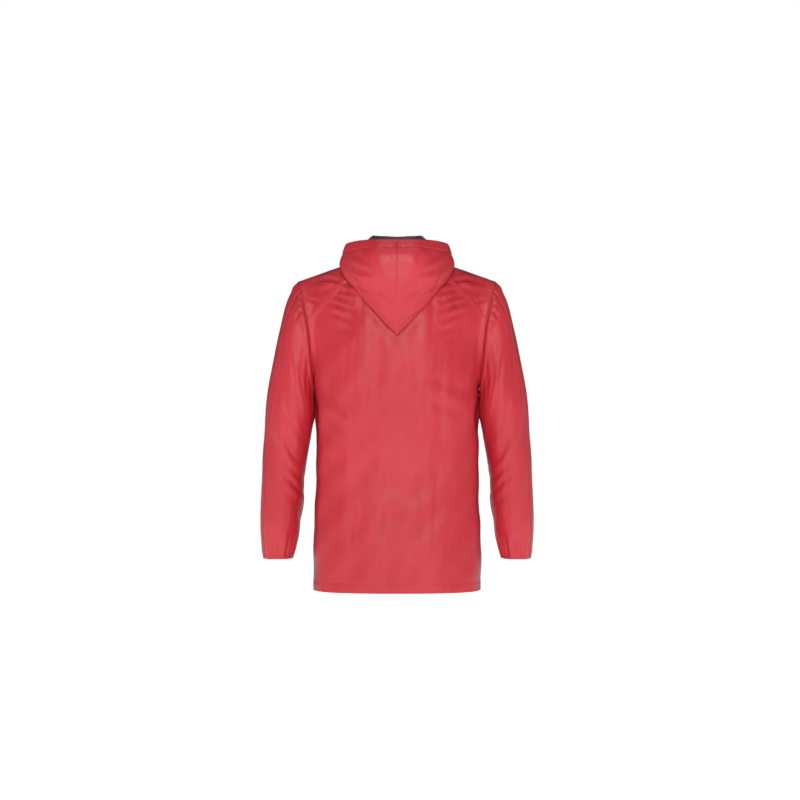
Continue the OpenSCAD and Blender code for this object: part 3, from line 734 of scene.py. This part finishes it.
# --- sleeves
SLEEVE = np.array([
    [235.2, -53, 194.4, -301, 61.5, 0], [263, -110, 194.5, -325, 67, 0], [288, -225, 193.5, -362, 71, 2],
    [306, -335, 203, -410, 68, 6], [315, -450, 213.5, -470, 62, 12], [322, -570, 222, -572, 58, 20],
    [323.5, -630, 229, -630, 53, 26], [321, -668, 238, -668, 46, 30], [317, -703, 247, -703, 37, 32]], float)
SEAM, MM_PER_DEGREE = 36, 1.09


def station(table, k):
    k = np.asarray(k, float)
    last = len(table) - 1
    i = np.minimum(np.floor(k).astype(int), last - 1)
    t = (k - i)[..., None]
    a, b, c, d = (table[np.clip(i + n, 0, last)] for n in (-1, 0, 1, 2))
    return 0.5 * (2 * b + (c - a) * t + (2 * a - 5 * b + 4 * c - d) * t * t + (3 * b - a - 3 * c + d) * t ** 3)


def sleeve_grid(ks, angles):
    s = station(SLEEVE, ks)[:, None, :]
    an = np.radians(angles)[None, :, None]
    mid = np.stack([(s[..., 0] + s[..., 2]) / 2, -s[..., 5], (s[..., 1] + s[..., 3]) / 2], -1)
    out = np.stack([(s[..., 0] - s[..., 2]) / 2, 0 * s[..., 0], (s[..., 1] - s[..., 3]) / 2], -1)
    side = np.stack([0 * s[..., 0], s[..., 4], 0 * s[..., 0]], -1)
    bow = armhole_in((1 + np.cos(an)) / 2) * (1 - smooth(np.asarray(ks, float) / 1.4))[:, None, None]
    return mid + out * np.cos(an) + side * np.sin(an) - bow * np.array([1, 0, 0])


fine_k = np.linspace(0, 8, 801)
mids = sleeve_grid(fine_k, np.array([0.0, 90, 180, 270])).mean(1)
arc = run(mids)


def sleeve_down(ks, angles):
    """Distance down from the armhole at each k and angle, scaled so that every line is equally long."""
    down = run(sleeve_grid(fine_k, angles))
    return np.stack([np.interp(ks, fine_k, down[:, j]) * arc[-1] / down[-1, j] for j in range(len(angles))], 1)


SLEEVE_K = np.interp(np.concatenate([np.linspace(0, 12, 7), np.linspace(16, arc[-1] - 14, 150),
                                     np.linspace(arc[-1] - 11, arc[-1], 8)]), arc, fine_k)
S_WAVE = waves(21, 9, 120, 240)
S_STREAK = waves(22, 12, 34, 300)
S_SMALL = waves(23, 12, 24, 40)
# in millimetres: round the sleeve from the outer line, and down from the armhole
SLEEVE_FOLDS = [
    ([(49, 0), (45, 22)], 2.8, -3.2), ([(57, 0), (52, 20)], 2.8, -3.2), ([(65, 0), (62, 28)], 3.2, -2.8),
    ([(74, 0), (73, 18)], 2.8, -1.4), ([(40, 2), (34, 22)], 3.4, -1.6), ([(112, 16), (132, 62)], 9, 1.3),
    ([(138, 22), (158, 74)], 10, 1.3),
    ([(92, 70), (128, 120)], 10, 1.5), ([(60, 190), (110, 215), (150, 205)], 14, 1.4),
    ([(70, 262), (120, 280), (170, 262)], 13, 1.9), ([(120, 310), (180, 318)], 11, 1.9),
    ([(80, 352), (140, 344), (180, 352)], 13, 1.6), ([(214, 262), (260, 284), (316, 270)], 12, 1.9),
    ([(205, 300), (258, 322), (308, 316)], 12, 2.0), ([(210, 344), (262, 352), (320, 340)], 13, 1.6),
    ([(60, 452), (120, 470)], 14, 1.3), ([(96, 520), (150, 540)], 13, 1.2), ([(240, 440), (300, 452)], 14, 1.4),
]


def sleeve_relief(angles, L, end):
    u = angles * MM_PER_DEGREE
    r = 0.95 * S_WAVE(u, L) + 0.18 * S_STREAK(u, L) + 0.14 * S_SMALL(u, L)
    r = with_folds(r, u, L, SLEEVE_FOLDS)
    fan = smooth((L - end + 84) / 52) * (1 - smooth((L - end + 13) / 8))
    turn = np.cos(np.radians(angles * 13 + 20 * np.sin(np.radians(angles * 3))))
    r = r + fan * (1.15 * turn + 0.5 * np.cos(np.radians(angles * 22)))
    r = r * smooth(L / 7)
    line = end - L - CUFF_TURN
    r = r - 0.7 * np.exp(-(line / 1.3) ** 2) + 0.35 * np.sin(u * 0.9) * np.exp(-(line / 7) ** 2)
    r = r + 8.5 * np.exp(-((angles - 214) / 20) ** 2) * np.exp(-((L - 165) / 75) ** 2)
    down = 180 - np.abs(angles - 180)  # 0 at the shoulder point, 180 under the arm
    deep = lerp(1.0, 5.8, smooth((down - 22) / 50)) - 3.4 * smooth((down - 150) / 25)
    return r + 2.2 * np.exp(-((L - 12) / 7) ** 2) - deep * np.exp(-(L / 2.8) ** 2)


def sleeve_weight(L, angles, lag=0):
    """How far the cloth L below the armhole has turned with the sleeve: over a short way at the shoulder
    point, and over a long way under the arm, where it draws tight."""
    under = (1 - np.cos(np.radians(angles))) / 2
    t = np.clip((L + lag * under) / lerp(50, 250, under), 0, 1)
    return lerp(smooth(t), 1 - (1 - t) ** 2.6, under)


def sleeve_blend(o, w):
    blend_by(o)


SLEEVES = []
for name, a0, a1, cols in (("back", SEAM + 0.15, 179.9, 56), ("front", 180.1, 360 + SEAM - 0.15, 80)):
    angles = np.linspace(a0, a1, cols)
    g = sleeve_grid(SLEEVE_K, angles)
    L = run(g)
    outer, under = edge_distance(g) if name == "back" else edge_distance(g)[::-1]
    relief = sleeve_relief(angles[None] + 0 * L, L * arc[-1] / L[-1], arc[-1])
    g = relieved(g, relief * smooth(outer / 15) + seam_dip(outer, 1.9, 2.2) + seam_dip(under, 0.8, 1.6))
    w = sleeve_weight(L * arc[-1] / L[-1], angles[None])
    g, w = np.concatenate([sewn_under(g[0])[None], g]), np.concatenate([0 * w[:1], w])
    SLEEVES.append((g, w))
    for o, side, sign in pair(g, "sleeve_cloth_" + name, M_RED, ["sleeve_" + name],
                              thick=SHELL_THICK, body=None):
        sleeve_blend(o, w[:, ::sign])

ring = np.arange(84) * 360 / 84 + 160
turn = np.where(ring > 360 + SEAM, ring - 360, ring)
for name, k0, k1, rows, depth, thick, mat, slot, node in (
        ("sleeve_inner_cloth", 0.35, 7.25, 110, 4.2, LINING_THICK, M_LINING, "lining_cloth", "sleeve_lining"),
        ("cuff_band_elastic", 7.55, 7.95, 12, 2.4, 0.6, M_ELASTIC, "elastic", "cuff_elastic"),
        ("cuff_turned_cloth", 7.4, 7.995, 14, 3.5, LINING_THICK, M_LINING, "lining_cloth", "cuff_facing")):
    ks = np.linspace(k0, k1, rows)
    down = sleeve_down(ks, ring)
    g = relieved(sleeve_grid(ks, ring), sleeve_relief(turn[None], down, arc[-1]), True)
    g = offset(g, depth, True)
    if name.startswith("sleeve"):
        r = 0.4 * S_WAVE(ring[None] * MM_PER_DEGREE, np.linspace(0, 600, rows)[:, None])
    else:
        r = 0.25 * np.cos(np.radians(ring * 28))[None] * np.sin(np.linspace(0, 3.14, rows))[:, None]
    g = relieved(g, -np.abs(r), True)
    w = sleeve_weight(down, ring[None], 4.5)
    for o, side, sign in pair(g, name, mat, [node], wrap=True, thick=thick, body=None):
        sleeve_blend(o, w[:, ::sign])

# --- hood: rows of brim x, y, z, fold x, z and the curve's handles, from the middle to the side
HOOD = np.array([
    [0, 124, 38.5, 0, -184, 46, 46, 38, 68], [50, 117, 38.5, 44, -138, 44, 44, 34, 61],
    [97, 84, 36.5, 87.75, -88, 30, 36, 27, 42], [120, 38, 30, 124.2, -38, 15, 30, 17, 15],
    [100, -14, 10, 100, -4, 6, 6, 3, 5]], float)
CLEAR = 3.5


def back_y(x, z):
    q = np.minimum(np.abs(x) / NECK, 1)
    top = np.where(np.abs(x) < NECK, 8 * (1 - q ** 2), shoulder_z(np.abs(x)))
    s = (np.minimum(z, top - 0.5) + ARM) / (top + ARM)
    return upper_back(x, s)[..., 1]


def off_back(x, z):
    return np.stack([x, back_y(x, z) + CLEAR, z + CLEAR], -1)


def hood_column(c, n_out, n_in):
    """One column, from the brim down the outside to the fold and up the inside to the neck."""
    h = station(HOOD, np.array([4 * abs(c)]))[0]
    brim, foldx, foldz = h[:3], h[3], h[4]
    f = math.radians(100 * c)
    out = np.array([math.sin(f), math.cos(f), 0])
    fold = off_back(np.array(foldx), np.array(foldz))
    p1, p2 = brim + out * h[5] - np.array([0, 0, h[6]]), fold + out * h[7] + np.array([0, 0, h[8]])
    t = np.linspace(0, 1, n_out)[:, None]
    outer = brim * (1 - t) ** 3 + 3 * p1 * t * (1 - t) ** 2 + 3 * p2 * t * t * (1 - t) + fold * t ** 3
    u = np.linspace(0, 1, n_in)[1:]
    x = lerp(foldx, (NECK + 8) * math.sin(math.radians(85 * c)), u)
    z = lerp(foldz, lerp(12, 6, abs(c)), u)
    return np.concatenate([outer, off_back(x, z)])


N_OUT, N_IN = 74, 52  # rows outside, from brim to fold, and inside
HC = np.concatenate([np.linspace(1, 0.06, 92), np.linspace(0.05, 0, 6)])
hood0 = np.stack([hood_column(c, N_OUT, N_IN) for c in HC], 1)
sharp = hood0.copy()
for _ in range(14):  # rounds the fold
    mid = hood0.copy()
    mid[1:-1] = (hood0[:-2] + 2 * hood0[1:-1] + hood0[2:]) / 4
    near = np.exp(-((np.arange(len(hood0)) - N_OUT + 1) / 5.0) ** 2)[:, None, None]
    hood0 = lerp(hood0, mid, near)
back_out = (sharp - hood0)[N_OUT - 1] * 1.15
hood0 = hood0 + back_out[None] * np.exp(-((np.arange(len(hood0)) - N_OUT + 1) / 9.0) ** 2)[:, None, None]
HV = run(hood0)
H_WAVE, H_SMALL = waves(31, 9, 110, 110), waves(33, 14, 30, 34)
HOOD_FOLDS = [([(118, 8), (96, -14), (66, -30)], 10, 2.4), ([(112, -24), (84, -46), (56, -56)], 9, 2.2),
              ([(40, 6), (36, -40), (24, -92)], 22, 1.1), ([(64, 14), (70, -18)], 11, 1.3),
              ([(86, -64), (54, -86), (30, -104)], 8, 1.7), ([(46, -116), (22, -140), (8, -152)], 7, 1.4)]


def hood_relief(g, v):
    """Soft swells, the brim's stitched edge, the centre seam and a few folds; v runs down from the brim."""
    x, z = g[..., 0], g[..., 2]
    outside = (np.arange(len(g))[:, None] < N_OUT - 3) * 1.0
    total = v[N_OUT - 1][None]
    share = v / np.maximum(total, 1)
    r = 1.3 * H_WAVE(np.hypot(x, 22), z) + 0.2 * H_SMALL(np.hypot(x, 9), z)
    for pts, w, a in HOOD_FOLDS:
        r = r + stroke(x, z, pts, w, a) * smooth(x / 14)
    r = r * outside * smooth(v / 18) * smooth((total - v) / 22)
    r = r + outside * (-1.5 * np.exp(-((v - 24) / 1.8) ** 2) + 1.1 * (1 - smooth((v - 18) / 6))
                       + 0.7 * np.sin(x * 0.31 + 2 * np.sin(x * 0.07)) * np.exp(-((v - 24) / 7) ** 2))
    tip = smooth((share - 0.86) / 0.08)
    pinch = np.exp(-((v - 20) / 10) ** 2) * (1.0 * np.exp(-((x - 6) / 3) ** 2) - 1.5 * np.exp(-(x / 3.2) ** 2))
    return r + outside * (pinch - 1.5 * tip * np.exp(-(x / 1.5) ** 2))


hood = relieved(hood0, hood_relief(hood0, HV))
hood[:, -1, 0] = 0
HOOD_W = smooth((HV[-1][None] - HV) / 75)
def hood_blend(o, w):
    blend_by(o)


for o, side, sign in pair(hood, "hood_cloth", M_RED, ["hood_panel"], thick=SHELL_THICK,
                          body=None, held="folded"):
    hood_blend(o, HOOD_W[:, ::sign])
HREF = np.concatenate([hood.reshape(-1, 3), mirrored(hood).reshape(-1, 3)])
HW = np.concatenate([HOOD_W.ravel(), HOOD_W[:, ::-1].ravel()])


def hood_layer(name, node, depth, centre, reach, rows, side, wave):
    """A layer under the whole hood, `centre` deeper along the middle, where the two panels meet."""
    g = offset(hood, depth) - normals(hood) * reach * (centre * np.exp(-(hood[..., :1] / 7) ** 2))
    g = np.concatenate([g[:, :-3], mirrored(g)[:, 3:]], 1)[rows, side:-side]
    shape = relieved(g, -np.abs(wave * H_WAVE(g[..., 0] + 200, g[..., 2]))) if wave else g
    o = grid_piece(name, shape, M_LINING, thick=LINING_THICK)
    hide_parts(node)
    declare(g)
    hood_blend(o, nearest(o, HREF, HW))


above_tip = smooth((N_OUT - 22 - np.arange(len(hood))) / 12)[:, None, None]
hood_layer("hood_inner_cloth", "hood_lining", 2.9, 2.0, above_tip, slice(8, None), 20, 0.5)
hood_layer("hood_brim_band", "hood_brim_facing", 1.9, 2.2, 1.0, slice(0, 11), 12, 0)


# --- collar
def collar_base(a):
    q = np.abs(np.sin(np.radians(a))) ** (2 / OVAL)
    back = upper_back(NECK * q, np.ones_like(q))
    front = upper_front(FLAT + (NECK - FLAT) * q, np.ones_like(q))
    return np.where((a <= 90)[..., None], back, front)


def collar_ends(a):
    b = collar_base(a)
    z = np.where(a <= 90, lerp(TOP - NECK + COLLAR_FLAT, TOP_BACK, smooth((90 - a) / 50)),
                 TOP - np.maximum(0, b[..., 0] - COLLAR_FLAT))
    x = b[..., 0] - 0.05 * np.maximum(0, b[..., 0] - FLAT)
    y = np.where(a <= 90, b[..., 1] * 0.95, b[..., 1] * zip_depth(z) / zip_depth(b[..., 2]))
    return b + np.array([0, 0, 0.5]), np.stack([x, y, z], -1)


ca = np.concatenate([np.linspace(0, 90, 60), np.linspace(90, 180, 60)[1:]])
lo_edge, hi_edge = collar_ends(ca)
b = upper_front(np.array([8.0]), np.array([1.0]))[0]
end_lo, end_hi = b + np.array([0, 0, 0.5]), np.array([8.0, -ZIP_TOP, TOP])
steps = np.linspace(0, 1, 6)[1:, None]
lo_edge = np.concatenate([lo_edge, lerp(lo_edge[-1], end_lo, steps)])
hi_edge = np.concatenate([hi_edge, lerp(hi_edge[-1], end_hi, steps)])
for _ in range(3):  # eases the step at the sides of the neck
    hi_edge[1:-6] = (hi_edge[:-7] + 2 * hi_edge[1:-6] + hi_edge[2:-5]) / 4
    lo_edge[1:-6] = (lo_edge[:-7] + 2 * lo_edge[1:-6] + lo_edge[2:-5]) / 4


def collar_grid(h0, h1, rows):
    h = np.linspace(h0, h1, rows)[:, None, None]
    half = lerp(lo_edge[None], hi_edge[None], h)
    return np.concatenate([(half * np.array([-1, 1, 1]))[:, ::-1], half[:, 1:]], 1)


C_WAVE = waves(41, 9, 80, 90)
g0 = collar_grid(0, 1, 34)
u = np.arctan2(g0[..., 0], -g0[..., 1]) * 80
v = run(g0)
top = v[-1][None] - v
side = np.minimum(*edge_distance(g0))
relief = (1.1 * C_WAVE(u, v) + 0.8 * np.sin(v / 15 + C_WAVE(u, 0 * v))) * smooth(v / 12) * smooth(top / 14)
relief = relief * smooth((side - 12) / 20)
relief = relief - 0.7 * np.exp(-((top - 6) / 1.3) ** 2) + 0.4 * (1 - smooth((top - 2) / 4))
relief = relief - 1.0 * np.exp(-(v / 2) ** 2)
relief = relief - 0.8 * np.exp(-(side / 1.1) ** 2) - 0.4 * np.exp(-((side - 7) / 1.2) ** 2)
COLLAR = relieved(g0, relief)
single("collar_cloth", COLLAR, M_RED, "collar_shell", SHELL_THICK, flat=g0)
g = offset(COLLAR, 2.0)[1:]
g[-1] = lerp(g[-1], COLLAR[-1], 0.45) + np.array([0, 0, 0.7])
single("collar_inner_cloth", g, M_COLLAR, "collar_lining", LINING_THICK,
       cut=lambda c: (np.abs(c[:, 0]) < 19.5) & (c[:, 1] < 0))

# --- linings, facings and tapes inside the shell
declare(G_BACK)
for o, *_ in FRONTS:
    declare(G_FRONT)
for o, *_ in YOKES:
    declare(G_YOKE)

L_WAVE, LINING_DEPTH = waves(51, 9, 120, 150), 9.0


def full_rows(low, up, across_at):
    """Rows of the whole body section, armhole to armhole, for the linings."""
    ss = np.concatenate([np.linspace(0, 0.6, 22), np.linspace(0.64, 0.998, 18)])
    return np.stack([row(low, across_at(float(half_width(z))), z) for z in LOW_Z[LOW_Z > -712][::2]]
                    + [row(up, across_at(float(armhole_half(s))), s) for s in ss])


def lining(rows):
    """LINING_DEPTH under the shell, running out to the collar's lining at the neck."""
    depth = np.full((len(rows), 1, 1), LINING_DEPTH)
    depth[-3:, 0, 0] = 7.5, 5.0, 2.8
    return offset(rows, depth)


q = spaced(36) * 0.995
g = lining(full_rows(lower_back, upper_back, lambda half: both_ways(q) * half)) + np.array([0, 0.6, 0])
r = 1.2 * L_WAVE(g[..., 0], g[..., 2])
single("back_inner_cloth", relieved(g, -np.abs(r) * smooth(np.minimum(*edge_distance(g)) / 40)), M_LINING,
       "lining_back", LINING_THICK, flat=g)
g = full_rows(lower_front, upper_front, lambda half: np.append(FLAT + (half - FLAT) * q[::-1], 18.0))
g = lining(g) + np.array([0, -0.6, 0])
r = 1.2 * L_WAVE(g[..., 0] + 300, g[..., 2])
g = relieved(g, -np.abs(r) * smooth(np.minimum(*edge_distance(g)) / 40))
pair(g, "front_inner_cloth", M_LINING, ["lining_front"], thick=LINING_THICK)

hx = spaced(40)
hz = np.linspace(-LENGTH + 0.5, -LENGTH + HEM_TURN, 7)
g = np.stack([row(lower_front, FLAT + (float(half_width(z)) - FLAT) * hx[::-1], z) for z in hz])
h = np.stack([row(lower_back, both_ways(hx) * half_width(z), z) for z in hz])
g = offset(np.concatenate([mirrored(g)[:, :-1], h, g[:, 1:]], 1), 3.9)
single("hem_turned_cloth", g, M_LINING, "hem_facing", LINING_THICK)

tz = np.linspace(-LENGTH + 24, -ARM - 6, 90)
tt = np.linspace(-11, 11, 9)  # across the tape
g = np.stack([np.stack([half_width(z) * fade(tt / back_depth(z), BOX), -tt, np.full(9, z)], -1) for z in tz])
ts = np.linspace(YOKE + (1 - YOKE) * 0.5, YOKE + (1 - YOKE) * 0.866, 24)
bk = np.stack([row(upper_back, panel_half(s) + tt, s) for s in ts])
fr = np.stack([row(upper_front, panel_half(s) - tt, s) for s in ts])
for name, g, depth, nodes in (("side_tape_strip", g, 2.95, ["side_seam_tape"]),
                              ("yoke_tape_strip_back", bk, 2.65, ["yoke_seam_tape"]),
                              ("yoke_tape_strip_front", fr, 2.65, [])):
    pair(offset(g, depth), name, M_TAPE, nodes, thick=SEAM_TAPE_THICK, held="stretched")

# --- hanger loop and neck label
half, sag = 32, 9.5
rad = (half * half + sag * sag) / (2 * sag)
th = np.linspace(-math.asin(half / rad), math.asin(half / rad), 60)
arch = np.stack([rad * np.sin(-th), 54.5 - sag + rad - rad * np.cos(th), 0 * th], -1)
g = arch[None] + np.array([0, 0, 1])[None, None] * np.linspace(9, 17, 7)[:, None, None]
single("hanger_strap", g, M_ZIPTAPE, "hanger_loop", 1.1)
X, Z = np.meshgrid(np.linspace(20, -20, 30), np.linspace(-32, 0, 24))
Y = 50.6 - 0.25 * np.cos(X / 20 * 1.5) * np.sin((Z + 32) / 32 * math.pi)
single("label_cloth", np.stack([X, Y, Z], -1), M_LABEL, "neck_label", 0.4)

# --- zips
ZL = math.hypot(FRONT - ZIP_TOP, TOP + LENGTH)
ZS, ZC = (FRONT - ZIP_TOP) / ZL, (TOP + LENGTH) / ZL
STACK, P_STACK = 2.3, 3.4  # height of the chain off the zip's own plane
COIL_IN, COIL_OUT = 0.9, 3.3


def in_zip(x, y, z):
    x, y, z = np.broadcast_arrays(x, y, z)
    return np.stack([x, -ZIP_TOP + y * ZC + z * ZS, TOP - y * ZS + z * ZC], -1).astype(float)


def in_slit(x, y, z):
    x, y, z = np.broadcast_arrays(x, y, z)
    return P_A + x[..., None] * P_SIDE + y[..., None] * P_IN + z[..., None] * P_UP


def coil_piece(name, place, z0, z1, stack, pitch=1.5, r=0.34):
    """A nylon coil down one side: each turn is a tooth."""
    turns = int((z0 - z1) / pitch)
    ang = np.linspace(0, 2 * math.pi * turns, turns * 10 + 1)
    z = lerp(z0, z1, ang / ang[-1])
    bulge = np.cos(ang)
    x = (COIL_IN + COIL_OUT) / 2 - (COIL_OUT - COIL_IN - 2 * r) / 2 * np.sign(bulge) * np.abs(bulge) ** 0.8
    y = stack + (1.1 - r) * np.sin(ang)
    return tube(name, place(x, y, z), r, M_COIL, sides=5)


def strip(place, x0, x1, y, z0, z1, rows, cols=7):
    x = np.linspace(x0, x1, cols)[None]
    z = np.linspace(z1, z0, rows)[:, None]
    return place(x, np.full((1, 1), y), z)


# the closed chain's left-hand side lies at +x; rows go up, so the columns run from the outer edge in
g = strip(in_zip, 15, COIL_OUT - 1.3, STACK, -0.5, -ZL + 1, 260)
pair(g, "main_tape_cloth", M_ZIPTAPE, ["main_zip_tape"], thick=ZIP_TAPE_THICK, held="stretched")
g = strip(in_slit, 11, COIL_OUT - 1.3, P_STACK, 2.5, -P_LEN - 2.5, 60)
h = strip(in_slit, -COIL_OUT + 1.3, -11, P_STACK, 2.5, -P_LEN - 2.5, 60)
for tag, grid, nodes in (("outer", g, ["pocket_zip_tape"]), ("inner", h, [])):
    pair(grid, "pocket_tape_cloth_" + tag, M_ZIPTAPE, nodes, thick=ZIP_TAPE_THICK,
         held="stretched")
for side, sign in SIDES:
    o = coil_piece("main_coil_" + side, lambda x, y, z: in_zip(sign * x, y, z), -4, -ZL + 14, STACK)
    shell_piece(o, ["main_zip_coil_" + side])
    for k, tag, nodes in ((1, "a", ["pocket_zip_coil_" + side]), (-1, "b", [])):
        o = coil_piece("pocket_coil_%s_%s" % (side, tag),
                       lambda x, y, z: in_slit(k * x, y, z) * np.array([sign, 1, 1]), 0, -P_LEN, P_STACK)
        shell_piece(o, nodes)

g = strip(in_zip, 20.5, -20.5, 6.4, -0.6, -ZL + 12, 200, 15)
single("wind_flap_cloth", g, M_COLLAR, "wind_flap", 0.7)


# --- pockets
def welt_grid():
    """A soft band round the slit: the path goes round, the rows go across the band."""
    hw, bot, top_ = 5.6, -P_LEN - 1, 1.0
    path, outs = [], []
    corners = [(hw, bot, -90), (hw, top_, 0), (-hw, top_, 90), (-hw, bot, 180)]
    for n in range(4):
        (x0, z0, a0), (x1, z1, _) = corners[n], corners[(n + 1) % 4]
        for a_ in np.linspace(a0, a0 + 90, 7):
            path.append((x0, z0))
            outs.append((math.cos(math.radians(a_)), math.sin(math.radians(a_))))
        steps_ = max(3, int(math.hypot(x1 - x0, z1 - z0) / 3))
        for t in np.linspace(0, 1, steps_ + 1)[1:-1]:
            path.append((lerp(x0, x1, t), lerp(z0, z1, t)))
            outs.append((math.cos(math.radians(a0 + 90)), math.sin(math.radians(a0 + 90))))
    path, outs = np.array(path), np.array(outs)
    prof = [(0.0, 0.9), (0.0, -0.2), (0.25, -0.85), (0.9, -1.2), (2.0, -1.3), (3.2, -1.25), (3.9, -1.0),
            (4.5, -1.2), (5.0, -1.1), (5.3, -0.6), (5.35, 0.3)]
    rows = []
    for w, y in prof:
        p = path + outs * w
        low_end = lerp(1, 0.5, smooth((-P_LEN + 6 - p[:, 1]) / 5))
        rows.append(in_slit(p[:, 0], y * low_end + 0.05 * np.sin(np.arange(len(p)) * 1.9), p[:, 1]))
    return np.stack(rows)


pair(welt_grid()[::-1], "pocket_welt_cloth", M_RED, ["pocket_welt"], wrap=True,
     held="stretched")
bx = np.linspace(152, 55, 34)
g = np.stack([row(lower_front, bx, z) for z in np.linspace(-690, -445, 70)])
pair(offset(g, 6.7), "pocket_bag_cloth", M_LINING, ["pocket_bag"], thick=0.4)

# --- stitching
def topstitch(name, line, body="shell"):
    o = stitches(name, *line)
    if body:
        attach(o, body)
    return o


def stitch_pair(name, line, body="shell"):
    """Stitches on both sides; {} in the body's name stands for the side."""
    out = []
    for side, sign in SIDES:
        there = [v * np.array([sign, 1, 1]) for v in line]
        out.append((topstitch(name + "_" + side, there, body and body.format(side)), side, sign))
    return out


topstitch("stitch_hem_back", line_at(G_BACK, 19.5, up=True))
stitch_pair("stitch_hem_front", line_at(G_FRONT, 19.5, up=True))
stitch_pair("stitch_zip_edge", line_at(G_FRONT, 7, end=True))
stitch_pair("stitch_yoke", line_at(G_YOKE, 4.5, rows=range(2, len(G_YOKE) - 2)))
topstitch("stitch_collar_top", line_at(COLLAR, 6, end=True, up=True))
for tag, (g, w) in zip(("back", "front"), SLEEVES):
    stitch_pair("stitch_cuff_" + tag, line_at(g, CUFF_TURN, end=True, up=True), "{}_sleeve")
ref = np.concatenate([g.reshape(-1, 3) for g, w in SLEEVES])
weights = np.concatenate([w.ravel() for g, w in SLEEVES])
for o, side, sign in stitch_pair("stitch_sleeve_seam", line_at(SLEEVES[1][0], 4, end=True), None):
    sleeve_blend(o, nearest(o, ref * np.array([sign, 1, 1]), weights))
stitch_pair("stitch_brim", line_at(hood, 24, up=True), "hood")
# --- the CAD's own hardware
HARDWARE = ["hood_cord_eyelets", "main_zip_top_stops", "main_zip_pin_and_box", "main_zip_slider",
            "main_zip_pull", "pocket_slider_left", "pocket_slider_right", "pocket_pull_left", "pocket_pull_right"]
for name in HARDWARE:
    o = N[name]
    o.data.materials.clear()
    o.data.materials.append(M_METAL)
    bevel = o.modifiers.new("edges", "BEVEL")
    bevel.width, bevel.segments, bevel.limit_method = 0.00022, 2, "ANGLE"

# --- floor; it glows as painted light, at 0.6 within 1.6 m of the origin, rising to full white at 3 m
X, Y = np.meshgrid(*[np.linspace(-9000, 9000, 25)] * 2)
m_floor, t, p = shader("floor_paper")
at = place_in(t)
link(t, mixed(t, noise(t, at, 1.5, 2), (0.93, 0.93, 0.93), (0.96, 0.96, 0.96)), p.inputs["Base Color"])
put(p, Roughness=0.9, Emission_Color=(1, 1, 1, 1))
far = t.nodes.new("ShaderNodeVectorMath")
far.operation = "LENGTH"
link(t, at, far.inputs[0])
link(t, spread(t, far.outputs["Value"], 0.6, 1.0, 1.6, 3.0), p.inputs["Emission Strength"])
g = np.stack([X, Y[::-1] * -1, 0 * X - 1240], -1)
floor = grid_piece("floor", g[:, ::-1] if normals(g)[2, 2, 2] < 0 else g, m_floor)
